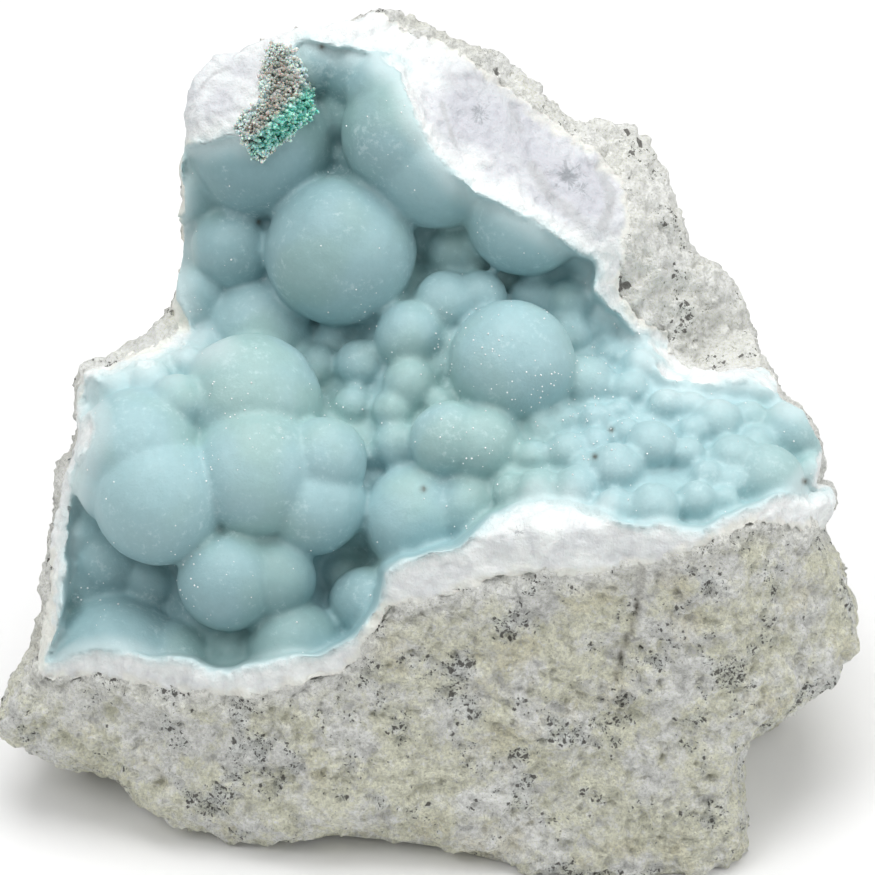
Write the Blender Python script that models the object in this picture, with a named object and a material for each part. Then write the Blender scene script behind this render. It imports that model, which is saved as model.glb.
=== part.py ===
"""A blue aragonite specimen: pale host rock with a hollow lined by a ball-covered crust.

Everything is drawn from the broken front of the stone, which leans back from upright.
ACROSS, UP and OUT are millimetres on that leaning face: to the right, up the slope and
towards the front. One function turns them into the part's own metres.
"""

import math
from collections import namedtuple

import bmesh
import bpy
import numpy as np
from mathutils import Matrix, Vector, noise

MM = 0.001

# The leaning face
LEAN = math.radians(35.0)  # the face leans back from upright by this much
FACE_CENTRE = Vector((1.1, -9.3, 49.0))  # where ACROSS, UP and OUT are all zero
READING_DISTANCE = 426.6  # widths are read from this far in front of the face
RIGHT = Vector((1.0, 0.0, 0.0))
UPSLOPE = Vector((0.0, math.sin(LEAN), math.cos(LEAN)))
OUTWARD = Vector((0.0, -math.cos(LEAN), math.sin(LEAN)))

# How fine the pieces are
ROCK_VOXEL = 2.0
CRUST_VOXEL = 1.1
SHEET_CELL = 2.0
SHEET_REACH = 66.0
FIT_GAP = 0.5  # along OUT, between one piece and the next
LEAST_CRUST = 2.2
SPARE_DEPTH = 4.0  # left under the crust until its last cut
ROCK_TRIANGLES = 2600
HOLLOW_TRIANGLES = 2000
CRUST_TRIANGLES = 6400

# How far the blocks that shape the stone reach, on OUT
FRONT_LIMIT = 45.0
BACK_LIMIT = -95.0
EDGE_SLOPE = 3.5  # how steeply the front rises from the stone's outline
SMOOTH_ANGLE = math.radians(40.0)  # edges that turn more than this stay crisp

# The stone's outline seen square to the face, clockwise from its left tip, and the OUT
# of the stone's edge there
OUTLINE = [
    (-57.2, -38.6, -8.0), (-56.2, -35.0, -8.0), (-54.9, -31.5, -8.0), (-53.0, -27.5, -8.0),
    (-51.6, -22.0, -7.0), (-50.9, -18.0, -7.0), (-49.9, -14.0, -7.0), (-49.2, -9.0, -6.0),
    (-49.1, -5.0, -6.0), (-48.0, -2.0, -6.0), (-46.5, 1.0, -7.0), (-46.8, 5.0, -8.0),
    (-46.7, 9.6, -9.0), (-43.0, 10.3, -10.0), (-41.0, 11.8, -11.0), (-38.0, 13.2, -12.0),
    (-36.2, 14.8, -13.0), (-35.0, 17.0, -13.0), (-34.2, 20.0, -13.0), (-33.6, 24.0, -12.0),
    (-33.3, 28.0, -11.0), (-33.2, 32.0, -10.0), (-33.8, 34.5, -9.0), (-33.0, 39.0, -8.0),
    (-33.0, 43.0, -7.0), (-31.9, 46.8, -6.0), (-29.5, 49.8, -6.0), (-26.4, 50.8, -6.0),
    (-21.7, 52.5, -7.0), (-16.7, 53.6, -8.0), (-10.8, 54.7, -8.0), (-6.0, 55.4, -9.0),
    (-3.3, 55.2, -10.0), (0.2, 53.9, -11.0), (5.2, 52.5, -13.0), (8.3, 49.9, -13.0),
    (11.4, 47.3, -13.0), (14.3, 44.3, -13.0), (18.0, 40.8, -13.0), (22.8, 41.6, -14.0),
    (26.2, 40.6, -15.0), (28.5, 37.2, -15.0), (30.6, 33.3, -16.0), (31.6, 29.6, -16.0),
    (32.6, 26.2, -16.0), (34.2, 23.6, -17.0), (36.5, 22.4, -17.0), (39.8, 19.2, -17.0),
    (41.2, 14.9, -17.0), (41.7, 11.8, -16.0), (43.3, 9.3, -14.0), (44.9, 5.3, -11.0),
    (48.1, 3.2, -8.0), (50.2, -0.8, -6.0), (49.7, -3.5, -4.0), (49.3, -6.4, -3.0),
    (51.2, -6.7, -2.0), (51.8, -8.8, -2.0), (50.6, -10.8, -2.0), (50.4, -12.8, -3.0),
    (52.6, -17.0, -4.0), (54.6, -22.0, -5.0), (54.2, -27.0, -6.0), (52.0, -30.6, -6.0),
    (48.0, -34.4, -6.0), (44.3, -38.0, -5.0), (40.6, -39.5, -4.0), (39.5, -43.0, -4.0),
    (39.5, -46.0, -5.0), (40.4, -50.0, -6.0), (40.2, -54.0, -7.0), (37.9, -56.3, -7.0),
    (32.0, -58.0, -7.0), (24.0, -59.4, -7.0), (14.0, -58.3, -7.0), (8.0, -55.6, -7.0),
    (2.0, -53.9, -7.0), (-6.0, -52.8, -8.0), (-13.0, -52.1, -8.0), (-18.0, -52.6, -8.0),
    (-24.0, -53.4, -9.0), (-28.0, -52.6, -10.0), (-32.0, -50.9, -10.0),
    (-36.0, -49.2, -10.0), (-38.7, -48.2, -10.0), (-39.9, -46.4, -10.0),
    (-43.0, -44.0, -10.0), (-48.0, -42.6, -9.0), (-53.4, -41.0, -9.0),
]

# Where the blue lining of the hollow ends and its white broken edge begins
LINING_EDGE = [
    (-51.0, -29.0), (-46.0, -28.1), (-40.0, -27.6), (-36.0, -28.6), (-32.0, -28.9),
    (-29.0, -30.0), (-27.0, -30.0), (-23.0, -28.8), (-20.0, -28.3), (-15.0, -28.0),
    (-13.0, -27.0), (-10.5, -26.0), (-8.0, -22.0), (-6.7, -17.6), (-4.0, -16.0),
    (0.0, -15.0), (3.0, -14.0), (5.0, -12.0), (7.0, -10.0), (10.0, -8.6),
    (13.0, -8.0), (17.0, -8.2), (21.0, -9.0), (23.0, -11.0), (27.0, -11.4),
    (31.0, -11.0), (34.5, -11.9), (38.0, -10.0), (43.0, -8.0), (48.0, -6.9),
    (60.0, -6.0), (60.0, 8.0), (44.0, 7.8), (40.0, 8.7), (36.0, 9.0),
    (33.0, 10.0), (29.0, 12.0), (25.5, 14.0), (22.2, 17.0), (20.5, 19.0),
    (20.0, 22.8), (17.0, 25.0), (13.0, 27.6), (9.0, 30.0), (5.0, 31.5),
    (2.0, 34.0), (0.0, 37.0), (-1.5, 41.0), (-2.0, 45.0), (-4.0, 48.8),
    (-8.0, 50.2), (-13.0, 50.6), (-17.0, 52.2), (-19.0, 50.6), (-18.0, 46.0),
    (-19.5, 42.5), (-24.0, 38.4), (-27.0, 39.2), (-30.0, 38.3), (-33.5, 38.0),
    (-34.0, 28.0), (-34.0, 18.0), (-31.4, 13.6), (-34.0, 11.6), (-37.0, 10.0),
    (-40.0, 9.4), (-43.0, 8.2), (-45.4, 7.0), (-46.0, 3.0), (-47.2, -3.0),
    (-48.0, -9.0), (-48.3, -15.0), (-48.6, -20.0), (-49.4, -25.0),
]

# Where the crust's broken edge ends and the rock begins
CRUST_EDGE = [
    (-52.0, -31.5), (-48.0, -31.3), (-43.0, -30.8), (-38.0, -31.8), (-33.0, -32.8),
    (-28.0, -33.2), (-24.0, -33.2), (-18.0, -31.8), (-13.0, -30.8), (-10.3, -28.8),
    (-9.0, -24.5), (-7.0, -21.8), (-2.0, -21.2), (2.0, -20.2), (5.0, -19.0),
    (8.0, -18.0), (12.0, -17.3), (17.0, -17.7), (21.0, -17.6), (24.0, -16.6),
    (28.0, -16.0), (31.0, -14.8), (36.0, -13.0), (40.0, -11.2), (44.0, -11.0),
    (49.0, -12.0), (60.0, -12.0), (60.0, 10.2), (44.0, 10.2), (40.0, 10.8),
    (36.0, 12.0), (31.0, 13.4), (27.0, 15.0), (24.5, 17.0), (23.3, 20.0),
    (23.8, 24.0), (24.5, 28.0), (24.0, 33.0), (21.0, 37.0), (17.0, 39.5),
    (13.0, 42.5), (9.0, 45.5), (4.0, 48.5), (1.0, 51.0), (-4.0, 52.6),
    (-10.0, 57.0), (-37.0, 57.0), (-37.0, 41.0), (-31.3, 37.0), (-31.0, 28.0),
    (-31.0, 20.0), (-31.8, 15.4), (-34.6, 13.0), (-38.0, 11.3), (-41.5, 10.2),
    (-44.5, 9.2), (-46.2, 8.0), (-47.2, 3.0), (-48.8, -3.0), (-50.5, -8.0),
    (-50.0, -14.0), (-49.8, -20.0), (-50.5, -25.0), (-51.3, -29.0),
]

# The balls of the crust: ACROSS and UP of the middle, radius, OUT of the middle
BALLS = [
    # The wall at the top
    (-23.0, 38.0, 9.7, -12.0), (-12.6, 24.3, 9.8, -9.4), (-26.5, 24.8, 5.5, -13.5),
    (-23.1, 13.8, 6.9, -15.0), (-3.5, 39.5, 9.0, -7.0),
    (0.0, 36.5, 9.3, -7.5), (-6.5, 44.5, 5.5, -6.5), (-15.9, 48.6, 3.8, -9.0),
    (11.5, 29.0, 8.0, -7.5), (3.0, 24.0, 5.0, -14.0), (12.5, 18.0, 3.5, -12.0),
    (17.0, 17.5, 3.2, -10.5), (-15.5, 9.0, 3.5, -12.0), (-13.0, 13.0, 3.0, -14.0),
    # The cluster that stands out on the left
    (-24.3, 4.2, 9.4, -5.5), (-23.5, -4.6, 8.6, 0.0), (-38.9, -1.8, 8.2, -0.5),
    (-36.2, -8.0, 8.6, 1.6), (-41.5, -6.8, 5.4, -1.0), (-33.8, 4.6, 3.7, 0.0),
    (-37.5, 7.0, 3.2, -3.0), (-32.5, 9.4, 2.4, -6.0), (-41.5, 6.0, 3.5, -3.5),
    (-14.6, -2.9, 5.6, 0.5), (-15.9, -8.6, 6.7, -0.5), (-27.2, -18.7, 6.6, 1.2),
    (-21.2, -18.4, 5.4, 0.0), (-41.5, -29.5, 9.2, -5.6), (-34.0, -28.5, 4.8, -3.5),
    (-43.0, -16.5, 5.5, -8.0), (-37.0, -18.8, 4.0, -7.0), (-18.5, -27.5, 6.3, -1.0),
    (-26.0, -28.5, 4.5, -4.0), (-47.5, -21.0, 3.5, -8.0), (-9.2, -21.5, 4.8, -2.0),
    # The middle of the floor
    (9.7, 9.7, 8.2, -3.7), (1.2, 17.5, 4.2, -8.5), (5.5, 18.2, 3.6, -9.0),
    (-3.6, 13.2, 4.6, -7.0), (-10.0, 9.5, 3.4, -9.0), (-3.5, 6.8, 3.7, -5.0),
    (-5.8, 3.4, 2.9, -4.0), (-11.0, 4.0, 2.8, -6.5), (0.6, 4.3, 2.2, -3.5),
    (1.5, -0.3, 5.1, 0.0), (5.8, -1.0, 5.2, 0.0), (-5.3, -1.0, 3.3, -3.0),
    (-8.2, -2.3, 1.9, -3.5), (-2.8, -10.5, 7.2, -2.5), (4.2, -9.2, 4.8, 0.0),
    # The fine-grained floor on the right
    (19.3, 6.8, 3.9, -6.0), (16.8, 13.5, 3.4, -10.0), (21.5, 14.6, 3.2, -12.0),
    (25.3, 12.0, 2.5, -11.0), (22.5, 10.8, 2.2, -9.5), (26.2, 9.0, 2.6, -7.3),
    (25.0, 6.2, 2.6, -4.6), (30.0, 7.9, 2.6, -6.3), (29.7, 4.0, 2.5, -2.0),
    (34.8, 7.2, 2.8, -6.6), (38.6, 6.8, 2.8, -7.2), (42.0, 5.8, 2.7, -7.0),
    (36.3, 1.8, 3.2, -1.0), (33.0, 3.8, 2.3, -2.6), (40.5, 2.3, 2.4, -2.9),
    (45.8, 0.6, 4.0, -2.2), (27.8, -1.1, 3.4, 4.2), (23.2, -4.3, 3.6, 6.5),
    (35.0, -5.2, 2.3, 6.5), (43.0, -5.5, 4.7, 4.0), (38.5, -3.0, 3.4, 3.2),
    (32.5, -2.2, 2.3, 3.8), (28.0, -9.3, 3.4, 11.5), (33.7, -8.3, 2.7, 10.0),
    (37.4, -8.1, 1.9, 8.8), (23.0, -9.4, 2.9, 11.0), (18.0, -6.8, 3.1, 8.0),
    (13.0, -7.0, 3.2, 7.0), (9.8, -7.2, 2.7, 5.5), (13.6, 0.8, 2.6, -1.0),
    (16.4, 2.2, 2.1, -2.0), (20.6, 2.2, 2.4, -1.1), (23.6, 3.2, 1.7, -1.8),
    (16.9, -2.0, 2.9, 2.8), (12.4, -2.7, 2.5, 2.4), (20.6, -1.0, 2.4, 2.3),
    (48.8, -4.5, 2.6, 0.5), (47.0, 2.2, 2.2, -4.5), (42.8, 8.0, 1.8, -9.0),
    (41.5, -1.0, 2.6, 0.3), (33.0, 0.6, 2.2, 0.8), (24.5, 0.5, 2.0, 1.2),
    (38.2, -6.0, 2.2, 6.3), (19.5, -4.3, 2.4, 5.4), (22.8, 6.0, 1.8, -5.0),
    (28.0, 11.2, 1.9, -9.6), (31.5, 9.9, 1.7, -9.0),
]

# The flat breaks that make the front: OUT at a place, and its rise per millimetre.
# Where two stand together the break follows the higher of them.
Break = namedtuple("Break", "across up out rise_across rise_up")
FRONT_BREAKS = [
    [Break(15.0, -17.0, 14.0, 0.0, 0.42)],  # the main front face
    [Break(-15.0, -31.0, 9.0, 0.27, 0.45)],  # its left part
    [Break(42.0, -25.0, 8.0, -0.9, 0.3)],  # where it turns to the right side
    [Break(0.0, 37.0, 0.5, -0.55, -0.78)],  # through the balls at the top right
    [Break(-28.0, 38.5, 0.0, 0.3, -0.65)],  # through the ball at the top left
    # The rock behind the balls at the top right, and its foot
    [Break(24.0, 24.0, -6.0, -0.8, 0.1), Break(40.0, 11.0, -15.0, 0.2, -1.6)],
    # The upper left wall, and its foot
    [Break(-31.0, 25.0, -8.0, 0.6, 0.3), Break(0.0, 12.0, -8.0, 0.0, -2.0)],
]
BREAK_ROUNDING = 1.2

# The flat breaks of the back and sides: a place on each, and the way it faces
BACK_BREAKS = [
    (Vector((0.0, 37.5, 30.0)), Vector((0.05, 1.0, 0.10))),
    (Vector((0.0, 33.5, 88.0)), Vector((0.0, 0.75, 0.65))),
    (Vector((-38.0, 19.5, 30.0)), Vector((-0.75, 0.65, 0.05))),
    (Vector((45.0, 22.5, 36.0)), Vector((0.75, 0.60, 0.20))),
    (Vector((10.0, 33.5, 8.0)), Vector((0.1, 0.85, -0.50))),
    (Vector((-50.0, 2.5, 10.0)), Vector((-0.80, 0.15, -0.60))),
    (Vector((50.0, 7.5, 12.0)), Vector((0.85, 0.20, -0.45))),
    (Vector((25.0, 35.5, 65.0)), Vector((0.55, 0.70, 0.45))),
    (Vector((-28.0, 35.5, 66.0)), Vector((-0.60, 0.75, 0.25))),
]

# The patch of small green crystals at the top left
DRUSE_PATCH = [
    (-21.5, 51.4), (-18.8, 50.4), (-16.8, 46.6), (-16.6, 43.0), (-18.0, 41.0),
    (-20.2, 38.8), (-22.0, 37.4), (-23.8, 36.0), (-25.2, 38.0), (-26.4, 40.5),
    (-25.0, 42.4), (-22.6, 44.2), (-23.0, 47.0), (-22.2, 49.6),
]
DRUSE_SEAT = Break(-24.0, 37.5, -4.0, -0.1, -0.2)
DRUSE_BED = 1.3
# Its larger crystals: ACROSS and UP of the foot, lean along ACROSS and UP, length, width
DRUSE_CRYSTALS = [
    (-20.4, 49.0, 0.1, 0.5, 2.4, 1.7), (-19.4, 46.6, 0.4, 0.1, 2.6, 1.8),
    (-21.3, 46.8, -0.4, 0.2, 2.3, 1.6), (-18.4, 44.3, 0.6, 0.0, 2.7, 1.6),
    (-20.6, 44.2, 0.0, 0.1, 2.8, 2.0), (-18.6, 42.4, 0.7, -0.3, 3.0, 1.4),
    (-20.4, 41.6, 0.3, -0.4, 3.2, 1.7), (-22.6, 42.4, -0.2, 0.3, 2.6, 1.9),
    (-20.9, 39.9, 0.5, -0.7, 3.0, 1.4), (-22.8, 40.2, 0.0, -0.3, 3.2, 1.8),
    (-24.6, 40.4, -0.4, 0.1, 2.5, 1.7), (-22.7, 38.6, 0.4, -0.8, 2.8, 1.3),
    (-24.2, 38.3, -0.2, -0.6, 2.7, 1.5), (-23.6, 37.3, 0.1, -0.9, 2.2, 1.2),
]

HOST_ROCK = (0.62, 0.58, 0.50, 1.0)
BLUE_CRUST = (0.45, 0.66, 0.68, 1.0)
GREEN_DRUSE = (0.22, 0.52, 0.42, 1.0)


def on_face(across, up, out):
    """The place in the part, in metres. What lies nearer than the face is drawn in
    towards the middle by its share of the reading distance."""
    share = 1.0 - out / READING_DISTANCE
    place = FACE_CENTRE + RIGHT * across * share + UPSLOPE * up * share + OUTWARD * out
    return place * MM


def nearest_edge(points, outline):
    """How far each point lies inside a closed outline, negative outside, and the
    outline's own value at the nearest place on it if the outline has one."""
    outline = np.array(outline)
    ends = np.roll(outline, -1, axis=0)
    along = (ends - outline)[:, :2]
    offset = points[:, None, :] - outline[None, :, :2]
    share = np.clip((offset * along).sum(2) / (along**2).sum(1), 0.0, 1.0)
    distances = np.linalg.norm(offset - share[..., None] * along, axis=2)
    nearest = distances.argmin(axis=1)
    rows = np.arange(len(points))
    distance = distances[rows, nearest]
    crosses = (outline[:, 1] > points[:, None, 1]) != (ends[:, 1] > points[:, None, 1])
    slope = along[:, 0] / np.where(along[:, 1] == 0.0, 1e-9, along[:, 1])
    crossing = outline[:, 0] + (points[:, None, 1] - outline[:, 1]) * slope
    inside = (crosses & (points[:, None, 0] < crossing)).sum(axis=1) % 2 == 1
    moved = share[rows, nearest]
    value = outline[nearest, -1] * (1.0 - moved) + ends[nearest, -1] * moved
    return np.where(inside, distance, -distance), value


def depth_inside(points, outline):
    """How far each point lies inside a closed outline; negative outside."""
    return nearest_edge(points, outline)[0]


def break_height(at, points):
    """OUT of a flat break at each point."""
    return at.out + at.rise_across * (points[:, 0] - at.across) + at.rise_up * (points[:, 1] - at.up)


def front(points):
    """OUT of the broken front at each point, without the hollow."""
    inside, edge_out = nearest_edge(points, OUTLINE)
    heights = [edge_out + EDGE_SLOPE * inside]
    for together in FRONT_BREAKS:
        heights.append(np.max([break_height(at, points) for at in together], axis=0))
    soft = [np.exp(-height / BREAK_ROUNDING) for height in heights]
    return -BREAK_ROUNDING * np.log(np.sum(soft, axis=0))


def ball_depth(points, share):
    """A smooth sheet through the balls, at a share of their radius from their middles."""
    balls = np.array(BALLS)
    apart = np.linalg.norm(points[:, None, :] - balls[None, :, :2], axis=2)
    weight = balls[:, 2] ** 2 / (apart**2 + 0.5 * balls[:, 2] ** 2) ** 2
    level = balls[:, 3] + share * balls[:, 2]
    return (weight * level).sum(axis=1) / weight.sum(axis=1)


def open_front(points):
    """The front of the whole stone, raised over the hollow so that no ball is cut there."""
    return front(points) + 2.5 * np.maximum(depth_inside(points, LINING_EDGE), 0.0)


def lining(points):
    """OUT of the crust's inner face between the balls."""
    rim = front(points) - 4.0 * depth_inside(points, LINING_EDGE)
    return np.maximum(ball_depth(points, -0.55), rim)


def pocket(points):
    """OUT of the rock under the crust."""
    rim = front(points) - 1.3 * depth_inside(points, CRUST_EDGE)
    bed = np.maximum(ball_depth(points, -0.85) - 1.5, rim)
    return np.minimum(bed, lining(points) - LEAST_CRUST)


def as_object(name, mesh):
    """A new object from a bmesh, with its faces turned outward."""
    bmesh.ops.recalc_face_normals(mesh, faces=mesh.faces)
    data = bpy.data.meshes.new(name)
    mesh.to_mesh(data)
    mesh.free()
    made = bpy.data.objects.new(name, data)
    bpy.context.scene.collection.objects.link(made)
    return made


def sheet_block(name, height, far_out):
    """A block with one face shaped by height(points), closed flat at far_out."""
    cells = round(2 * SHEET_REACH / SHEET_CELL)
    mesh = bmesh.new()
    bmesh.ops.create_grid(mesh, x_segments=cells, y_segments=cells, size=SHEET_REACH)
    points = np.array([vert.co[:2] for vert in mesh.verts])
    heights = np.clip(height(points), BACK_LIMIT + 1.0, FRONT_LIMIT - 1.0)
    for vert, out in zip(mesh.verts, heights):
        vert.co.z = out
    rim = [edge for edge in mesh.edges if edge.is_boundary]
    walls = bmesh.ops.extrude_edge_only(mesh, edges=rim)["geom"]
    for vert in (item for item in walls if isinstance(item, bmesh.types.BMVert)):
        vert.co.z = far_out
    open_edges = [edge for edge in mesh.edges if edge.is_boundary]
    bmesh.ops.contextual_create(mesh, geom=open_edges)
    for vert in mesh.verts:
        vert.co = on_face(*vert.co)
    return as_object(name, mesh)


def patch_block(name, outline, height, thickness):
    """A slab with the outline given, its lower face at height(points)."""
    points = np.array(outline)
    mesh = bmesh.new()
    ring = [mesh.verts.new((x, y, out)) for (x, y), out in zip(outline, height(points))]
    face = mesh.faces.new(ring)
    raised = bmesh.ops.extrude_face_region(mesh, geom=[face], use_keep_orig=True)["geom"]
    for vert in (item for item in raised if isinstance(item, bmesh.types.BMVert)):
        vert.co.z += thickness
    bmesh.ops.triangulate(mesh, faces=mesh.faces)
    for vert in mesh.verts:
        vert.co = on_face(*vert.co)
    return as_object(name, mesh)


def settle(made):
    """Applies the object's modifiers to its mesh."""
    bpy.context.view_layer.update()
    graph = bpy.context.evaluated_depsgraph_get()
    data = bpy.data.meshes.new_from_object(made.evaluated_get(graph))
    made.modifiers.clear()
    made.data = data
    return made


def remesh(made, voxel):
    """One closed skin round everything in the object."""
    modifier = made.modifiers.new("Skin", "REMESH")
    modifier.mode = "VOXEL"
    modifier.voxel_size = voxel * MM
    return settle(made)


def combine(made, other, operation):
    """A Boolean with another object, which is then removed."""
    modifier = made.modifiers.new(operation.title(), "BOOLEAN")
    modifier.operation = operation
    modifier.solver = "EXACT"
    modifier.object = other
    settle(made)
    bpy.data.objects.remove(other)
    return made


def thin_out(made, triangles):
    """Fewer triangles, at most the number given."""
    made.data.calc_loop_triangles()
    modifier = made.modifiers.new("Fewer", "DECIMATE")
    modifier.ratio = min(1.0, triangles / len(made.data.loop_triangles))
    modifier.use_collapse_triangulate = True
    return settle(made)


def duplicate(made, name, out=0.0):
    """A copy with its own mesh, moved towards the front if asked."""
    copy = bpy.data.objects.new(name, made.data.copy())
    bpy.context.scene.collection.objects.link(copy)
    copy.data.transform(Matrix.Translation(OUTWARD * out * MM))
    return copy


def cut_flat(mesh, place, facing):
    """Takes away everything beyond a plane and closes the cut."""
    everything = mesh.verts[:] + mesh.edges[:] + mesh.faces[:]
    cut = bmesh.ops.bisect_plane(
        mesh, geom=everything, plane_co=place * MM, plane_no=facing, clear_outer=True
    )
    edges = [item for item in cut["geom_cut"] if isinstance(item, bmesh.types.BMEdge)]
    bmesh.ops.holes_fill(mesh, edges=edges)


def rough_stone():
    """The stone's outline drawn back from the face and broken off behind."""
    mesh = bmesh.new()
    depths = [(FRONT_LIMIT, 0.992), (-12.0, 0.992), (-40.0, 0.965), (BACK_LIMIT, 0.86)]
    rings = []
    for out, scale in depths:
        ring = [mesh.verts.new((x * scale, y * scale, out)) for x, y, edge in OUTLINE]
        rings.append([mesh.edges.new(pair) for pair in zip(ring, ring[1:] + ring[:1])])
    for near, far in zip(rings, rings[1:]):
        bmesh.ops.bridge_loops(mesh, edges=near + far)
    for cap in (rings[0], rings[-1]):
        bmesh.ops.contextual_create(mesh, geom=cap)
    for vert in mesh.verts:
        vert.co = on_face(*vert.co)
    for place, facing in BACK_BREAKS:
        cut_flat(mesh, place, facing)
    return as_object("stone", mesh)


def weather(made, size, height):
    """Moves the skin in and out by a slow, fixed noise."""
    mesh = made.data
    normals = [vert.normal.copy() for vert in mesh.vertices]
    for vert, normal in zip(mesh.vertices, normals):
        place = vert.co / (size * MM)
        vert.co += normal * noise.fractal(place, 0.8, 2.1, 3) * height * MM


def ball_cluster():
    """Every ball of the crust, as overlapping closed balls in one mesh."""
    mesh = bmesh.new()
    for across, up, radius, out in BALLS:
        share = 1.0 - out / READING_DISTANCE
        bmesh.ops.create_icosphere(
            mesh,
            subdivisions=3,
            radius=radius * share * MM,
            matrix=Matrix.Translation(on_face(across, up, out)),
        )
    return as_object("balls", mesh)


def join(made, other):
    """Adds another object's mesh to this one, still as separate shells."""
    mesh = bmesh.new()
    mesh.from_mesh(made.data)
    mesh.from_mesh(other.data)
    mesh.to_mesh(made.data)
    mesh.free()
    bpy.data.objects.remove(other)
    return made


def keep_largest(made):
    """Drops the crumbs that a cut can leave beside the piece."""
    mesh = bmesh.new()
    mesh.from_mesh(made.data)
    bmesh.ops.remove_doubles(mesh, verts=mesh.verts, dist=0.01 * MM)
    unseen = set(mesh.verts)
    bodies = []
    while unseen:
        body, open_ends = set(), [unseen.pop()]
        while open_ends:
            vert = open_ends.pop()
            body.add(vert)
            near = {edge.other_vert(vert) for edge in vert.link_edges} & unseen
            unseen -= near
            open_ends.extend(near)
        bodies.append(body)
    bodies.sort(key=len)
    crumbs = [vert for body in bodies[:-1] for vert in body]
    bmesh.ops.delete(mesh, geom=crumbs, context="VERTS")
    mesh.to_mesh(made.data)
    mesh.free()
    return made


def finish_piece(made, name, colour, roughness):
    """Names a piece, shades it smooth between its crisp edges and gives it its material."""
    made.name = made.data.name = name
    made.data.shade_smooth()
    made.data.set_sharp_from_angle(angle=SMOOTH_ANGLE)
    material = bpy.data.materials.new(name)
    material.use_nodes = True
    shader = material.node_tree.nodes["Principled BSDF"]
    shader.inputs["Base Color"].default_value = colour
    shader.inputs["Roughness"].default_value = roughness
    shader.inputs["Metallic"].default_value = 0.0
    made.data.materials.clear()
    made.data.materials.append(material)
    return made


def build_stone():
    """The stone with its broken front, as if the hollow were filled, and flat below."""
    stone = rough_stone()
    combine(stone, sheet_block("front", open_front, FRONT_LIMIT + 10.0), "DIFFERENCE")
    remesh(stone, ROCK_VOXEL)
    weather(stone, 9.0, 1.0)
    thin_out(stone, ROCK_TRIANGLES)
    mesh = bmesh.new()
    mesh.from_mesh(stone.data)
    cut_flat(mesh, Vector((0.0, 0.0, 0.0)), Vector((0.0, 0.0, -1.0)))
    mesh.to_mesh(stone.data)
    mesh.free()
    return stone


def build_crust(stone, hollow):
    """The lining and its balls, inside the stone's own shape and clear of the rock."""
    crust = sheet_block("crust", lining, BACK_LIMIT)
    join(crust, ball_cluster())
    remesh(crust, CRUST_VOXEL)
    combine(crust, duplicate(hollow, "hollow_copy", -SPARE_DEPTH), "INTERSECT")
    thin_out(crust, CRUST_TRIANGLES)
    combine(crust, duplicate(hollow, "hollow_copy", FIT_GAP), "INTERSECT")
    combine(crust, duplicate(stone, "stone_copy"), "INTERSECT")
    return keep_largest(crust)


def build_druse():
    """A bed with pointed crystals on it, on a seat cut into the crust."""
    druse = patch_block("druse", DRUSE_PATCH, druse_foot, DRUSE_BED)
    for across, up, lean_across, lean_up, length, width in DRUSE_CRYSTALS:
        foot = np.array([[across, up]])
        out = float(druse_foot(foot)[0]) + 0.4 * DRUSE_BED
        axis = (RIGHT * lean_across + UPSLOPE * lean_up + OUTWARD).normalized()
        height = length + 0.6 * DRUSE_BED
        place = on_face(across, up, out) + axis * 0.5 * height * MM
        turn = axis.to_track_quat("Z", "Y").to_matrix().to_4x4()
        mesh = bmesh.new()
        bmesh.ops.create_cone(
            mesh,
            cap_ends=True,
            segments=6,
            radius1=0.5 * width * MM,
            radius2=0.12 * width * MM,
            depth=height * MM,
            matrix=Matrix.Translation(place) @ turn,
        )
        combine(druse, as_object("crystal", mesh), "UNION")
    return druse


def druse_seat(points):
    """OUT of the seat in the crust under the green patch."""
    return break_height(DRUSE_SEAT, points)


def druse_foot(points):
    """OUT of the lower face of the green patch."""
    return druse_seat(points) + FIT_GAP


def main():
    """Makes the three pieces of the specimen."""
    for existing in list(bpy.data.objects):
        bpy.data.objects.remove(existing)
    stone = build_stone()
    hollow = sheet_block("hollow", pocket, FRONT_LIMIT + 10.0)
    thin_out(hollow, HOLLOW_TRIANGLES)
    crust = build_crust(stone, hollow)
    combine(stone, hollow, "DIFFERENCE")
    keep_largest(stone)
    seat = patch_block("seat", DRUSE_PATCH, druse_seat, 40.0)
    combine(crust, seat, "DIFFERENCE")
    keep_largest(crust)
    druse = build_druse()
    finish_piece(stone, "host_rock", HOST_ROCK, 0.9)
    finish_piece(crust, "aragonite_crust", BLUE_CRUST, 0.5)
    finish_piece(druse, "green_druse", GREEN_DRUSE, 0.35)


main()
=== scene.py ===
"""The blue aragonite specimen: host rock, ball-covered crust, green crystal patch, studio.

The shapes are drawn from the broken front of the stone, which leans back from upright.
ACROSS, UP and OUT are millimetres on that leaning face: to the right, up the slope and
towards the front. LeaningFace turns them into metres in the part's own frame and back.
"""

import logging
import math
import random
from collections.abc import Callable, Iterable, Iterator
from contextlib import contextmanager
from dataclasses import dataclass, field
from enum import Enum

import bmesh
import bpy
import numpy as np
from mathutils import Euler, Matrix, Vector, noise
from mathutils.bvhtree import BVHTree


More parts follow.
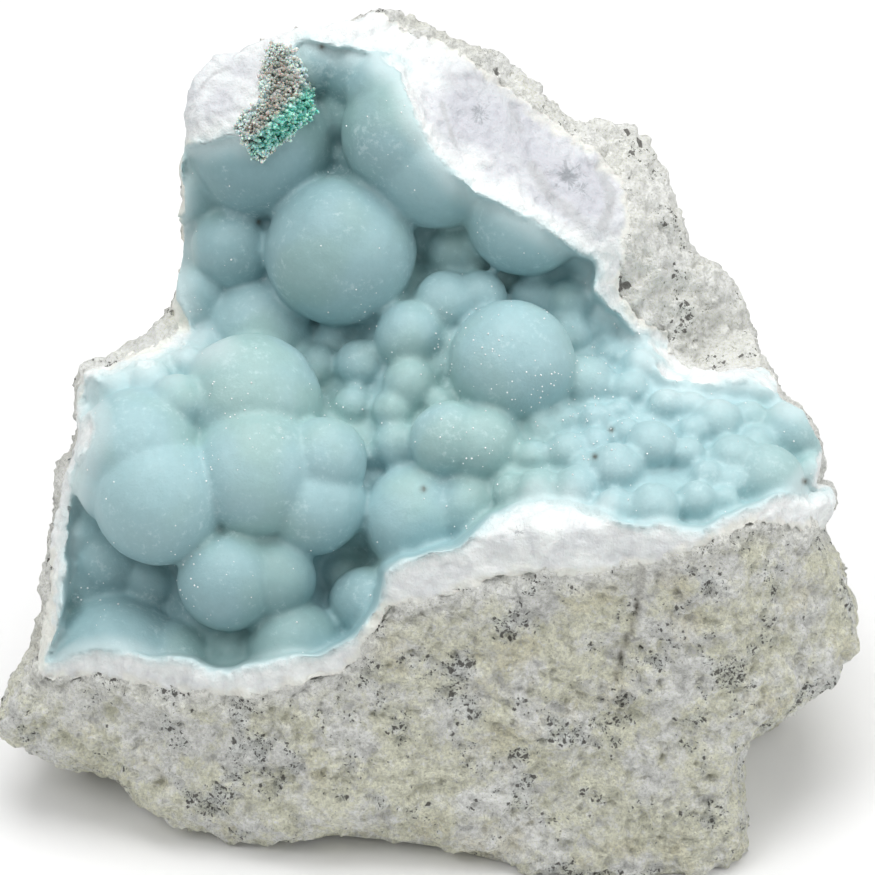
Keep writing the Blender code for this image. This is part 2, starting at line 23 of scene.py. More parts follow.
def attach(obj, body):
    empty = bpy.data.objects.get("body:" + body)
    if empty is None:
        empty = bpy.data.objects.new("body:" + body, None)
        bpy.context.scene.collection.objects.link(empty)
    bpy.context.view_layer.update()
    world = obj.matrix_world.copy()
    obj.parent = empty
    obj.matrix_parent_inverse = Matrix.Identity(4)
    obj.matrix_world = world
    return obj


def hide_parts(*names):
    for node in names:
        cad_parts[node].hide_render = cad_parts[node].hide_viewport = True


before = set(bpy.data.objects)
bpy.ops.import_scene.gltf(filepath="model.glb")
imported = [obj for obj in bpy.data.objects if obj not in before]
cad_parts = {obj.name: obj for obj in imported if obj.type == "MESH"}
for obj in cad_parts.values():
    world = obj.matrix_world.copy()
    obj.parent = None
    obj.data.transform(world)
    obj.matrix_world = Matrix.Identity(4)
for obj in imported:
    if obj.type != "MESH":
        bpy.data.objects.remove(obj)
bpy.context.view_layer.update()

MM = 0.001
REACH = 66.0  # half the side of every square drawn over the face, in millimetres
FAR_OUT = 60.0  # OUT of a place well clear of the stone's front
FAR_IN = -60.0  # OUT of a place well behind it
LOG = logging.getLogger("specimen")

Points = np.ndarray
Height = Callable[[Points], Points]
Triple = tuple[float, float, float]
Colour = Triple
Object = bpy.types.Object
Mesh = bmesh.types.BMesh
Socket = bpy.types.NodeSocket
Shade = Colour | Socket


class Solid(Enum):
    """What a Boolean does with its second object."""

    TAKE = "DIFFERENCE"
    KEEP_SHARED = "INTERSECT"


@dataclass(frozen=True)
class LeaningFace:
    """The broken front of the stone, and the eye it is read from."""

    lean: float = math.radians(35.0)
    centre: Vector = field(default_factory=lambda: Vector((1.1, -9.3, 49.0)))
    reading_distance: float = 426.6

    @property
    def right(self) -> Vector:
        """The direction of ACROSS."""
        return Vector((1.0, 0.0, 0.0))

    @property
    def upslope(self) -> Vector:
        """The direction of UP."""
        return Vector((0.0, math.sin(self.lean), math.cos(self.lean)))

    @property
    def outward(self) -> Vector:
        """The direction of OUT."""
        return Vector((0.0, -math.cos(self.lean), math.sin(self.lean)))

    def share(self, out: float | Points) -> float | Points:
        """How far in towards the centre what lies at OUT is drawn, to keep the eye's view."""
        return 1.0 - out / self.reading_distance

    def place(self, across: float, up: float, out: float) -> Vector:
        """A place in metres.

        Args:
            across: Millimetres to the right.
            up: Millimetres up the slope.
            out: Millimetres towards the front.

        Returns:
            The place in the part's frame.
        """
        share = self.share(out)
        flat = self.right * across * share + self.upslope * up * share
        return (self.centre + flat + self.outward * out) * MM

    def read(self, places: Points) -> Points:
        """ACROSS, UP and OUT of places in metres.

        Args:
            places: One place per row, in metres.

        Returns:
            One row of three millimetre values per place.
        """
        offset = places / MM - np.array(self.centre)
        out = offset @ np.array(self.outward)
        across = offset @ np.array(self.right) / self.share(out)
        up = offset @ np.array(self.upslope) / self.share(out)
        return np.stack([across, up, out], axis=1)


FACE = LeaningFace()


@dataclass(frozen=True)
class Break:
    """A flat break: its OUT at a place on the face, and its rise per millimetre."""

    across: float
    up: float
    out: float
    rise_across: float
    rise_up: float

    def height(self, points: Points) -> Points:
        """OUT of the break at each point."""
        over = self.rise_across * (points[:, 0] - self.across)
        return self.out + over + self.rise_up * (points[:, 1] - self.up)


@dataclass(frozen=True)
class Outline:
    """A closed line on the face; its corners may carry a value such as their OUT."""

    corners: tuple[tuple[float, ...], ...]
    chunk: int = 4096

    def nearest(self, points: Points) -> tuple[Points, Points]:
        """Distance inside the line, and the line's own value at its nearest place.

        Args:
            points: One ACROSS and UP per row.

        Returns:
            Distances, negative outside, and the values.
        """
        starts = range(0, len(points), self.chunk)
        parts = [self._nearest(points[start : start + self.chunk]) for start in starts]
        return tuple(np.concatenate(column) for column in zip(*parts))

    def _nearest(self, points: Points) -> tuple[Points, Points]:
        """The same for a few points at a time.

        Args:
            points: One ACROSS and UP per row.

        Returns:
            Distances, negative outside, and the values.
        """
        corners = np.array(self.corners)
        ends = np.roll(corners, -1, axis=0)
        along = (ends - corners)[:, :2]
        offset = points[:, None, :2] - corners[None, :, :2]
        share = np.clip((offset * along).sum(2) / (along**2).sum(1), 0.0, 1.0)
        distances = np.linalg.norm(offset - share[..., None] * along, axis=2)
        closest = distances.argmin(axis=1)
        rows = np.arange(len(points))
        across, up = points[:, None, 0], points[:, None, 1]
        crosses = (corners[:, 1] > up) != (ends[:, 1] > up)
        rise = np.where(along[:, 1] == 0.0, 1e-9, along[:, 1])
        crossing = corners[:, 0] + (up - corners[:, 1]) * along[:, 0] / rise
        inside = (crosses & (across < crossing)).sum(axis=1) % 2 == 1
        moved = share[rows, closest]
        value = corners[closest, -1] * (1.0 - moved) + ends[closest, -1] * moved
        distance = distances[rows, closest]
        return np.where(inside, distance, -distance), value

    def inside(self, points: Points) -> Points:
        """Distance inside the line, negative outside."""
        return self.nearest(points)[0]

    @classmethod
    def measured(cls, corners: Iterable[tuple[float, float]]) -> "Outline":
        """An outline whose value is the way walked along it so far.

        Args:
            corners: ACROSS and UP of each corner in turn.

        Returns:
            The outline.
        """
        flat = np.array(list(corners))
        steps = np.linalg.norm(np.diff(flat, axis=0), axis=1)
        walked = np.concatenate([[0.0], np.cumsum(steps)])
        return cls(tuple((*corner, way) for corner, way in zip(flat.tolist(), walked.tolist())))


@dataclass(frozen=True)
class Stroke:
    """A soft mark drawn on the face, along a line or, with one corner, as a spot."""

    corners: tuple[tuple[float, float], ...]
    width: float
    strength: float = 1.0

    def share(self, spots: Points) -> Points:
        """How strongly the mark covers each place.

        Args:
            spots: One ACROSS and UP per row.

        Returns:
            Its strength on the line, fading to 0 beside it.
        """
        if len(self.corners) == 1:
            across, up = self.corners[0]
            apart = np.hypot(spots[:, 0] - across, spots[:, 1] - up)
        else:
            there_and_back = self.corners + self.corners[-2:0:-1]
            apart = Outline(there_and_back).inside(spots)
        return np.exp(-((apart / self.width) ** 2)) * self.strength

    @classmethod
    def spot(cls, across: float, up: float, width: float, strength: float = 1.0) -> "Stroke":
        """A round mark."""
        return cls(((across, up),), width, strength)


def strongest(strokes: Iterable[Stroke], spots: Points) -> Points:
    """The strongest of several marks at each place."""
    return np.max([stroke.share(spots) for stroke in strokes], axis=0)


@dataclass(frozen=True)
class HeightMap:
    """Heights over the face on a fine square grid, read in between by blending."""

    values: Points

    @classmethod
    def drawn(cls, height: Height, cells: int = 330) -> "HeightMap":
        """Samples a height function once.

        Args:
            height: Gives OUT for rows of ACROSS and UP.
            cells: Cells along a side.

        Returns:
            The finished map.
        """
        steps = np.linspace(-REACH, REACH, cells + 1)
        across, up = np.meshgrid(steps, steps, indexing="ij")
        points = np.stack([across.ravel(), up.ravel()], axis=1)
        return cls(height(points).reshape(cells + 1, cells + 1))

    def __call__(self, points: Points) -> Points:
        """Reads the map.

        Args:
            points: One ACROSS and UP per row.

        Returns:
            OUT at each point.
        """
        cells = self.values.shape[0] - 1
        spot = (points[:, :2] + REACH) / (2.0 * REACH) * cells
        spot = np.clip(spot, 0.0, cells - 1e-6)
        low = spot.astype(int)
        part = spot - low
        i, j = low[:, 0], low[:, 1]
        near = self.values[i, j] * (1 - part[:, 0]) + self.values[i + 1, j] * part[:, 0]
        far = self.values[i, j + 1] * (1 - part[:, 0]) + self.values[i + 1, j + 1] * part[:, 0]
        return near * (1 - part[:, 1]) + far * part[:, 1]

    def slope(self, points: Points) -> Points:
        """How steep the map is.

        Args:
            points: One ACROSS and UP per row.

        Returns:
            Rise over run at each point.
        """
        step = 2.0 * REACH / (self.values.shape[0] - 1)
        shift = np.array([[step, 0.0], [0.0, step]])
        flat = points[:, :2]
        rises = [(self(flat + move) - self(flat - move)) / (2.0 * step) for move in shift]
        return np.hypot(*rises)


def eased(low: float, high: float, value: Points) -> Points:
    """0 below low, 1 above high, with a soft change between."""
    share = np.clip((value - low) / (high - low), 0.0, 1.0)
    return share * share * (3.0 - 2.0 * share)


def ripple(places: Points, size: float, detail: int = 3, shift: float = 0.0) -> Points:
    """Slow, fixed noise at places.

    Args:
        places: One place per row, in metres.
        size: Millimetres across one swell.
        detail: How many finer layers it has.
        shift: Moves the pattern, to get another one.

    Returns:
        A value per place, mostly between -1 and 1.
    """
    scaled = places / (size * MM) + shift
    return np.array([noise.fractal(Vector(row), 0.8, 2.1, detail) for row in scaled])


def flattened(points: Points) -> Points:
    """Points on the face as places that all have the same OUT."""
    return np.column_stack([points[:, :2], np.zeros(len(points))]) * MM


# The stone's outline clockwise from its left tip, with the OUT of its edge
STONE_OUTLINE = Outline(
    (
        (-57.2, -38.6, -8), (-56.2, -35, -8), (-54.9, -31.5, -8), (-53, -27.5, -8),
        (-51.6, -22, -7), (-50.9, -18, -7), (-49.9, -14, -7), (-49.2, -9, -6),
        (-49.1, -5, -6), (-48, -2, -6), (-46.5, 1, -7), (-46.8, 5, -8),
        (-46.7, 9.6, -9), (-43, 10.3, -10), (-41, 11.8, -11), (-38, 13.2, -12),
        (-36.2, 14.8, -13), (-35, 17, -13), (-34.2, 20, -13), (-33.6, 24, -12),
        (-33.3, 28, -11), (-33.2, 32, -10), (-33.8, 34.5, -9), (-33, 39, -8),
        (-33, 43, -7), (-31.9, 46.8, -6), (-29.5, 49.8, -6), (-26.4, 50.8, -6),
        (-21.7, 52.5, -7), (-16.7, 53.6, -8), (-10.8, 54.7, -8), (-6, 55.4, -9),
        (-3.3, 55.2, -10), (0.2, 53.9, -11), (5.2, 52.5, -13), (8.3, 49.9, -13),
        (11.4, 47.3, -13), (14.3, 44.3, -13), (18, 40.8, -13), (22.8, 41.6, -14),
        (26.2, 40.6, -15), (28.5, 37.2, -15), (30.6, 33.3, -16), (31.6, 29.6, -16),
        (32.6, 26.2, -16), (34.2, 23.6, -17), (36.5, 22.4, -17), (39.8, 19.2, -17),
        (41.2, 14.9, -17), (41.7, 11.8, -16), (43.3, 9.3, -14), (44.9, 5.3, -11),
        (48.1, 3.2, -8), (50.2, -0.8, -6), (49.7, -3.5, -4), (49.3, -6.4, -3),
        (51.2, -6.7, -2), (51.8, -8.8, -2), (50.6, -10.8, -2), (50.4, -12.8, -3),
        (52.6, -17, -4), (54.6, -22, -5), (54.2, -27, -6), (52, -30.6, -6),
        (48, -34.4, -6), (44.3, -38, -5), (40.6, -39.5, -4), (39.5, -43, -4),
        (39.5, -46, -5), (40.4, -50, -6), (40.2, -54, -7), (37.9, -56.3, -7),
        (32, -58, -7), (24, -59.4, -7), (14, -58.3, -7), (8, -55.6, -7),
        (2, -53.9, -7), (-6, -52.8, -8), (-13, -52.1, -8), (-18, -52.6, -8),
        (-24, -53.4, -9), (-28, -52.6, -10), (-32, -50.9, -10),
        (-36, -49.2, -10), (-38.7, -48.2, -10), (-39.9, -46.4, -10),
        (-43, -44, -10), (-48, -42.6, -9), (-53.4, -41, -9),
    )
)

# Where the blue lining of the hollow ends and its white broken edge begins
LINING_EDGE = Outline.measured(
    (
        (-51, -29), (-46, -28.1), (-40, -27.6), (-36, -28.6), (-32, -28.9),
        (-29, -30), (-27, -30), (-23, -28.8), (-20, -28.3), (-15, -28),
        (-13, -27), (-10.5, -26), (-8, -22), (-6.7, -17.6), (-4, -16),
        (0, -15), (3, -14), (5, -12), (7, -10), (10, -8.6),
        (13, -8), (17, -8.2), (21, -9), (23, -11), (27, -11.4),
        (31, -11), (34.5, -11.9), (38, -10), (43, -8), (48, -6.9),
        (60, -6), (60, 8), (44, 7.8), (40, 8.7), (36, 9),
        (33, 10), (29, 12), (25.5, 14), (22.2, 17), (20.5, 19),
        (20, 22.8), (17, 25), (13, 27.6), (9, 30), (5, 31.5),
        (2, 34), (0, 37), (-1.5, 41), (-2, 45), (-4, 48.8),
        (-8, 50.2), (-13, 50.6), (-17, 52.2), (-19, 50.6), (-18, 46),
        (-19.5, 42.5), (-24, 38.4), (-27, 39.2), (-30, 38.3), (-33.5, 38),
        (-34, 28), (-34, 18), (-31.4, 13.6), (-34, 11.6), (-37, 10),
        (-40, 9.4), (-43, 8.2), (-45.4, 7), (-46, 3), (-47.2, -3),
        (-48, -9), (-48.3, -15), (-48.6, -20), (-49.4, -25),
    )
)

# Where the crust's broken edge ends and the rock begins
CRUST_EDGE = Outline(
    (
        (-52, -31.5), (-48, -31.3), (-43, -30.8), (-38, -31.8), (-33, -32.8),
        (-28, -33.2), (-24, -33.2), (-18, -31.8), (-13, -30.8), (-10.3, -28.8),
        (-9, -24.5), (-7, -21.8), (-2, -21.2), (2, -20.2), (5, -19),
        (8, -18), (12, -17.3), (17, -17.7), (21, -17.6), (24, -16.6),
        (28, -16), (31, -14.8), (36, -13), (40, -11.2), (44, -11),
        (49, -12), (60, -12), (60, 10.2), (44, 10.2), (40, 10.8),
        (36, 12), (31, 13.4), (27, 15), (24.5, 17), (23.3, 20),
        (23.8, 24), (24.5, 28), (24, 33), (21, 37), (17, 39.5),
        (13, 42.5), (9, 45.5), (4, 48.5), (1, 51), (-4, 52.6),
        (-10, 57), (-37, 57), (-37, 41), (-31.3, 37), (-31, 28),
        (-31, 20), (-31.8, 15.4), (-34.6, 13), (-38, 11.3), (-41.5, 10.2),
        (-44.5, 9.2), (-46.2, 8), (-47.2, 3), (-48.8, -3), (-50.5, -8),
        (-50, -14), (-49.8, -20), (-50.5, -25), (-51.3, -29),
    )
)

# The balls of the crust: ACROSS and UP of the middle, radius, OUT of the middle
BALLS = np.array(
    [
        # The wall at the top
        (-23, 38, 9.7, -12), (-12.6, 24.3, 9.8, -9.4), (-26.5, 24.8, 5.5, -13.5),
        (-23.1, 13.8, 6.9, -15), (-3.5, 39.5, 9, -7),
        (0, 36.5, 9.3, -7.5), (-6.5, 44.5, 5.5, -6.5), (-15.9, 48.6, 3.8, -9),
        (11.5, 29, 8, -7.5), (3, 24, 5, -14), (12.5, 18, 3.5, -12),
        (17, 17.5, 3.2, -10.5), (-15.5, 9, 3.5, -12), (-13, 13, 3, -14),
        # The cluster that stands out on the left
        (-24.3, 4.2, 9.4, -5.5), (-23.5, -4.6, 8.6, 0), (-38.9, -1.8, 8.2, -0.5),
        (-36.2, -8, 8.6, 1.6), (-40.8, -5.5, 6.3, -0.8), (-33.8, 4.6, 3.7, 0),
        (-37.5, 7, 3.2, -3), (-32.5, 9.4, 2.4, -6), (-41.5, 6, 3.5, -3.5),
        (-14.6, -2.9, 5.6, 0.5), (-15.9, -8.6, 6.7, -0.5), (-27.2, -18.7, 6.6, 1.2),
        (-21.2, -18.4, 5.4, 0), (-41.5, -29.5, 9.2, -5.6), (-34, -28.5, 4.8, -3.5),
        (-43, -16.5, 5.5, -8), (-37, -18.8, 4, -7), (-18.5, -27.5, 6.3, -1),
        (-26, -28.5, 4.5, -4), (-46.3, -19.5, 4.4, -7.5), (-9.2, -21.5, 4.8, -2),
        # The middle of the floor
        (9.7, 9.7, 8.2, -3.7), (1.2, 17.5, 4.2, -8.5), (5.5, 18.2, 3.6, -9),
        (-3.6, 13.2, 4.6, -7), (-10, 9.5, 3.4, -9), (-3.5, 6.8, 3.7, -5),
        (-5.8, 3.4, 2.9, -4), (-11, 4, 2.8, -6.5), (0.6, 4.3, 2.2, -3.5),
        (1.5, -0.3, 5.1, 0), (5.8, -1, 5.2, 0), (-5.3, -1, 3.3, -3),
        (-8.2, -2.3, 1.9, -3.5), (-2.8, -10.5, 7.2, -2.5), (4.2, -9.2, 4.8, 0),
        # The fine-grained floor on the right
        (19.3, 6.8, 3.9, -6), (16.8, 13.5, 3.4, -10), (21.5, 14.6, 3.2, -12),
        (25.3, 12, 2.5, -11), (22.5, 10.8, 2.2, -9.5), (26.2, 9, 2.6, -7.3),
        (25, 6.2, 2.6, -4.6), (30, 7.9, 2.6, -6.3), (29.7, 4, 2.5, -2),
        (34.8, 7.2, 2.8, -6.6), (38.6, 6.8, 2.8, -7.2), (42, 5.8, 2.7, -7),
        (36.3, 1.8, 3.2, -1), (33, 3.8, 2.3, -2.6), (40.5, 2.3, 2.4, -2.9),
        (45.8, 0.6, 4, -2.2), (27.8, -1.1, 3.4, 4.2), (23.2, -4.3, 3.6, 6.5),
        (35, -5.2, 2.3, 6.5), (43, -5.5, 4.7, 4), (38.5, -3, 3.4, 3.2),
        (32.5, -2.2, 2.3, 3.8), (28, -9.3, 3.4, 11.5), (33.7, -8.3, 2.7, 10),
        (37.4, -8.1, 1.9, 8.8), (23, -9.4, 2.9, 11), (18, -6.8, 3.1, 8),
        (13, -7, 3.2, 7), (9.8, -7.2, 2.7, 5.5), (13.6, 0.8, 2.6, -1),
        (16.4, 2.2, 2.1, -2), (20.6, 2.2, 2.4, -1.1), (23.6, 3.2, 1.7, -1.8),
        (16.9, -2, 2.9, 2.8), (12.4, -2.7, 2.5, 2.4), (20.6, -1, 2.4, 2.3),
        (48.8, -4.5, 2.6, 0.5), (47, 2.2, 2.2, -4.5), (42.8, 8, 1.8, -9),
        (41.5, -1, 2.6, 0.3), (33, 0.6, 2.2, 0.8), (24.5, 0.5, 2, 1.2),
        (38.2, -6, 2.2, 6.3), (19.5, -4.3, 2.4, 5.4), (22.8, 6, 1.8, -5),
        (28, 11.2, 1.9, -9.6), (31.5, 9.9, 1.7, -9),
        # Deeper ones that show only between the others
        (-31, 18.5, 4.2, -15), (-31.5, 32.5, 4.5, -13.5), (-18.5, 11.5, 3.4, -15),
        (-16.5, 13.5, 3, -17), (-1.5, 26.5, 4.5, -16), (8, 21, 4, -15.5),
        (1, 12, 3.4, -8.5), (-0.5, 9, 3, -7.5), (-8.5, -6, 3.2, -5.5),
        (19.6, 23.6, 3.6, -11.5), (-12.5, -17.5, 3.8, -7), (-12.5, 42, 4.5, -12.5),
        (-10.5, 47.3, 4.6, -9.5), (-8.5, 50.2, 3.2, -9), (-46, -12.5, 4, -7),
    ]
)


@dataclass(frozen=True)
class StoneShape:
    """The whole stone as heights over the face: its breaks, its hollow and its crust."""

    breaks: tuple[tuple[Break, ...], ...] = (
        (Break(15.0, -17.0, 14.0, 0.0, 0.42),),
        (Break(-15.0, -31.0, 9.0, 0.27, 0.45),),
        (Break(42.0, -25.0, 8.0, -0.9, 0.3),),
        (Break(0.0, 37.0, 0.5, -0.55, -0.78),),
        (Break(-28.0, 38.5, 0.0, 0.3, -0.65),),
        (Break(24.0, 24.0, -6.0, -0.8, 0.1), Break(40.0, 11.0, -15.0, 0.2, -1.6)),
        (Break(-31.0, 25.0, -8.0, 0.6, 0.3), Break(0.0, 12.0, -8.0, 0.0, -2.0)),
    )
    rounding: float = 0.9
    blending: float = 0.5
    edge_slope: float = 3.5
    rim_slope: float = 13.0
    open_slope: float = 2.5
    bed_slope: float = 1.3
    bed_share: float = -0.85
    bed_drop: float = 1.5
    least_crust: float = 1.2
    round_about: float = 1.5
    shoulder_share: float = 0.15
    cup_share: float = -0.5
    skirt_slope: float = 3.2
    skirt_drop: float = 0.3
    ragged: float = 0.55

    def front(self, points: Points) -> Points:
        """The broken front, without the hollow.

        Args:
            points: One ACROSS and UP per row.

        Returns:
            OUT at each point.
        """
        inside, edge_out = STONE_OUTLINE.nearest(points)
        heights = [edge_out + self.edge_slope * inside]
        for together in self.breaks:
            heights.append(np.max([flat.height(points) for flat in together], axis=0))
        soft = [np.exp(-height / self.rounding) for height in heights]
        return -self.rounding * np.log(np.sum(soft, axis=0))

    def ball_sheet(self, points: Points, share: float) -> Points:
        """A smooth sheet through the balls.

        Args:
            points: One ACROSS and UP per row.
            share: How far out from their middles it passes, in radii.

        Returns:
            OUT at each point.
        """
        level = BALLS[:, 3] + share * BALLS[:, 2]
        total = np.zeros(len(points))
        weights = np.zeros(len(points))
        for (across, up, radius, _), out in zip(BALLS, level):
            apart = (points[:, 0] - across) ** 2 + (points[:, 1] - up) ** 2
            weight = radius**2 / (apart + self.blending * radius**2) ** 2
            total += weight * out
            weights += weight
        return total / weights

    def open_front(self, points: Points) -> Points:
        """The front, raised over the hollow so that no ball is cut there."""
        return self.front(points) + self.open_slope * np.maximum(LINING_EDGE.inside(points), 0.0)

    def skirts(self, points: Points) -> Points:
        """The balls seen from the front, each running on steeply past its rim.

        Args:
            points: One ACROSS and UP per row.

        Returns:
            OUT at each point.
        """
        heights = np.full(len(points), FAR_IN)
        for across, up, radius, out in BALLS:
            apart = np.hypot(points[:, 0] - across, points[:, 1] - up)
            start = radius * math.sin(math.atan(self.skirt_slope))
            dome = np.sqrt(np.maximum(radius**2 - np.minimum(apart, start) ** 2, 0.0))
            past = self.skirt_slope * np.maximum(apart - start, 0.0)
            heights = np.maximum(heights, out + dome - past - self.skirt_drop)
        return heights

    def lining(self, points: Points) -> Points:
        """The crust's inner face between the balls.

        Args:
            points: One ACROSS and UP per row.

        Returns:
            OUT at each point.
        """
        uneven = ripple(flattened(points), 4.5, 4) * self.ragged
        rim = self.front(points) - self.rim_slope * (LINING_EDGE.inside(points) + uneven)
        shoulder = self.ball_sheet(points, self.shoulder_share)
        between = np.minimum(self.skirts(points), shoulder)
        return np.maximum.reduce([self.ball_sheet(points, self.cup_share), between, rim])

    def pocket(self, points: Points, lining: HeightMap) -> Points:
        """OUT of the rock under the crust.

        Args:
            points: One ACROSS and UP per row.
            lining: The crust's inner face.

        Returns:
            OUT at each point, everywhere some way under the lining.
        """
        rim = self.front(points) - self.bed_slope * CRUST_EDGE.inside(points)
        bed = np.maximum(self.ball_sheet(points, self.bed_share) - self.bed_drop, rim)
        ways = np.linspace(0.0, 2.0 * math.pi, 8, endpoint=False)
        steps = [self.round_about * np.array([math.cos(way), math.sin(way)]) for way in ways]
        lows = [lining(points + step) for step in steps]
        return np.minimum(bed, np.min([lining(points), *lows], axis=0) - self.least_crust)


SHAPE = StoneShape()


def as_object(name: str, mesh: Mesh) -> Object:
    """A new object from a bmesh, with its faces turned outward.

    Args:
        name: Its name.
        mesh: Its mesh, which is used up.

    Returns:
        The object, in the scene.
    """
    bmesh.ops.recalc_face_normals(mesh, faces=mesh.faces)
    data = bpy.data.meshes.new(name)
    mesh.to_mesh(data)
    mesh.free()
    made = bpy.data.objects.new(name, data)
    bpy.context.scene.collection.objects.link(made)
    return made


@contextmanager
def edited(made: Object) -> Iterator[Mesh]:
    """Lends the object's mesh for work on it and puts it back afterwards.

    Args:
        made: The object.

    Yields:
        The mesh.
    """
    mesh = bmesh.new()
    mesh.from_mesh(made.data)
    yield mesh
    mesh.to_mesh(made.data)
    mesh.free()


def settle(made: Object) -> Object:
    """Applies the object's modifiers to its mesh.

    Args:
        made: The object.

    Returns:
        The same object.
    """
    bpy.context.view_layer.update()
    graph = bpy.context.evaluated_depsgraph_get()
    data = bpy.data.meshes.new_from_object(made.evaluated_get(graph))
    old = made.data
    made.modifiers.clear()
    made.data = data
    bpy.data.meshes.remove(old)
    return made


def reskin(made: Object, voxel: float) -> Object:
    """Draws one closed skin round everything in the object.

    Args:
        made: The object.
        voxel: Size of its faces in millimetres.

    Returns:
        The same object.
    """
    modifier = made.modifiers.new("Skin", "REMESH")
    modifier.mode = "VOXEL"
    modifier.voxel_size = voxel * MM
    return settle(made)


def combine(made: Object, other: Object, how: Solid) -> Object:
    """A Boolean with another object, which is then removed.

    Args:
        made: The object that is changed.
        other: The object it is combined with.
        how: Take it away, or keep what they share.

    Returns:
        The changed object.
    """
    modifier = made.modifiers.new(how.name, "BOOLEAN")
    modifier.operation = how.value
    modifier.solver = "MANIFOLD"
    modifier.object = other
    settle(made)
    bpy.data.objects.remove(other)
    return made


def twin(made: Object, name: str, out: float = 0.0) -> Object:
    """A copy with its own mesh.

    Args:
        made: The object.
        name: The name of the copy.
        out: Millimetres that it is moved towards the front.

    Returns:
        The copy.
    """
    copy = bpy.data.objects.new(name, made.data.copy())
    bpy.context.scene.collection.objects.link(copy)
    copy.data.transform(Matrix.Translation(FACE.outward * out * MM))
    return copy


def gather(name: str, members: Iterable[Object]) -> Object:
    """One object that holds the meshes of several, still as separate shells.

    Args:
        name: Its name.
        members: The objects, which are removed.

    Returns:
        The new object.
    """
    mesh = bmesh.new()
    for member in members:
        mesh.from_mesh(member.data)
        bpy.data.objects.remove(member)
    return as_object(name, mesh)


def keep_largest(made: Object) -> None:
    """Drops the crumbs that a cut can leave beside the piece.

    Args:
        made: The object.
    """
    with edited(made) as mesh:
        unseen = set(mesh.verts)
        bodies: list[set[bmesh.types.BMVert]] = []
        while unseen:
            body: set[bmesh.types.BMVert] = set()
            open_ends = [unseen.pop()]
            while open_ends:
                vert = open_ends.pop()
                body.add(vert)
                near = {edge.other_vert(vert) for edge in vert.link_edges} & unseen
                unseen -= near
                open_ends.extend(near)
            bodies.append(body)
        bodies.sort(key=len)
        crumbs = [vert for body in bodies[:-1] for vert in body]
        bmesh.ops.delete(mesh, geom=crumbs, context="VERTS")


def soften(made: Object, factor: float) -> None:
    """Evens out the small steps of a fresh skin.

    Args:
        made: The object.
        factor: How far each vertex goes towards the middle of its neighbours.
    """
    along = {"use_axis_x": True, "use_axis_y": True, "use_axis_z": True}
    with edited(made) as mesh:
        bmesh.ops.smooth_vert(mesh, verts=mesh.verts, factor=factor, **along)


def slice_off(mesh: Mesh, place: Vector, facing: Vector) -> None:
    """Cuts a closed mesh flat.

    Args:
        mesh: The mesh.
        place: A place on the cut, in metres.
        facing: What lies this way of it goes.
    """
    everything = mesh.verts[:] + mesh.edges[:] + mesh.faces[:]
    cut = bmesh.ops.bisect_plane(
        mesh, geom=everything, plane_co=place, plane_no=facing, clear_outer=True
    )
    edges = [item for item in cut["geom_cut"] if isinstance(item, bmesh.types.BMEdge)]
    bmesh.ops.holes_fill(mesh, edges=edges)


def thin_out(made: Object, hidden: Points, triangles: int) -> None:
    """Draws a hidden part of a skin with fewer faces, for a given number in all.

    Args:
        made: The object.
        hidden: True for each vertex that nobody sees.
        triangles: How many triangles the object may keep.
    """
    group = made.vertex_groups.new(name="Hidden")
    group.add(np.flatnonzero(hidden).tolist(), 1.0, "REPLACE")
    have = sum(len(face.vertices) - 2 for face in made.data.polygons)
    modifier = made.modifiers.new("Thin", "DECIMATE")
    modifier.vertex_group = group.name
    modifier.vertex_group_factor = 10.0
    modifier.ratio = min(1.0, triangles / have)
    settle(made)
    made.vertex_groups.clear()


def corners_of(made: Object) -> tuple[Points, Points]:
    """Reads the object's vertices.

    Args:
        made: The object.

    Returns:
        Their places in metres and their outward directions, one per row.
    """
    count = len(made.data.vertices)
    places = np.empty(count * 3)
    made.data.vertices.foreach_get("co", places)
    normals = np.empty(count * 3, np.float32)
    made.data.vertex_normals.foreach_get("vector", normals)
    return places.reshape(-1, 3), normals.reshape(-1, 3).astype(float)


def move_to(made: Object, places: Points) -> None:
    """Moves the object's vertices to new places, one per row."""
    made.data.vertices.foreach_set("co", places.ravel())
    made.data.update()


def push(made: Object, directions: Points, distances: Points) -> None:
    """Moves each vertex along its direction by its distance in millimetres."""
    move_to(made, corners_of(made)[0] + directions * distances[:, None] * MM)


def note(made: Object, **notes: Points) -> None:
    """Stores notes on the vertices for the materials to read.

    Args:
        made: The piece.
        notes: A value or a direction per vertex, by name.
    """
    for name, values in notes.items():
        kind, key = ("FLOAT", "value") if values.ndim == 1 else ("FLOAT_VECTOR", "vector")
        attribute = made.data.attributes.new(name, kind, "POINT")
        attribute.data.foreach_set(key, values.astype(np.float32).ravel())


@dataclass(frozen=True)
class SheetCutter:
    """Blocks with one face shaped by a height over the face of the stone."""

    cell: float = 0.75
    lowest: float = FAR_IN
    highest: float = 45.0

    def block(self, name: str, height: Height, far_out: float) -> Object:
        """One such block.

        Args:
            name: Its name.
            height: OUT of its shaped face.
            far_out: OUT of the flat face that closes it.

        Returns:
            The closed block.
        """
        mesh = bmesh.new()
        cells = round(2 * REACH / self.cell)
        bmesh.ops.create_grid(mesh, x_segments=cells, y_segments=cells, size=REACH)
        points = np.array([vert.co[:2] for vert in mesh.verts])
        heights = np.clip(height(points), self.lowest, self.highest)
        for vert, out in zip(mesh.verts, heights):
            vert.co.z = out
        rim = [edge for edge in mesh.edges if edge.is_boundary]
        walls = bmesh.ops.extrude_edge_only(mesh, edges=rim)["geom"]
        for vert in (item for item in walls if isinstance(item, bmesh.types.BMVert)):
            vert.co.z = far_out
        open_edges = [edge for edge in mesh.edges if edge.is_boundary]
        bmesh.ops.contextual_create(mesh, geom=open_edges)
        for vert in mesh.verts:
            vert.co = FACE.place(*vert.co)
        return as_object(name, mesh)


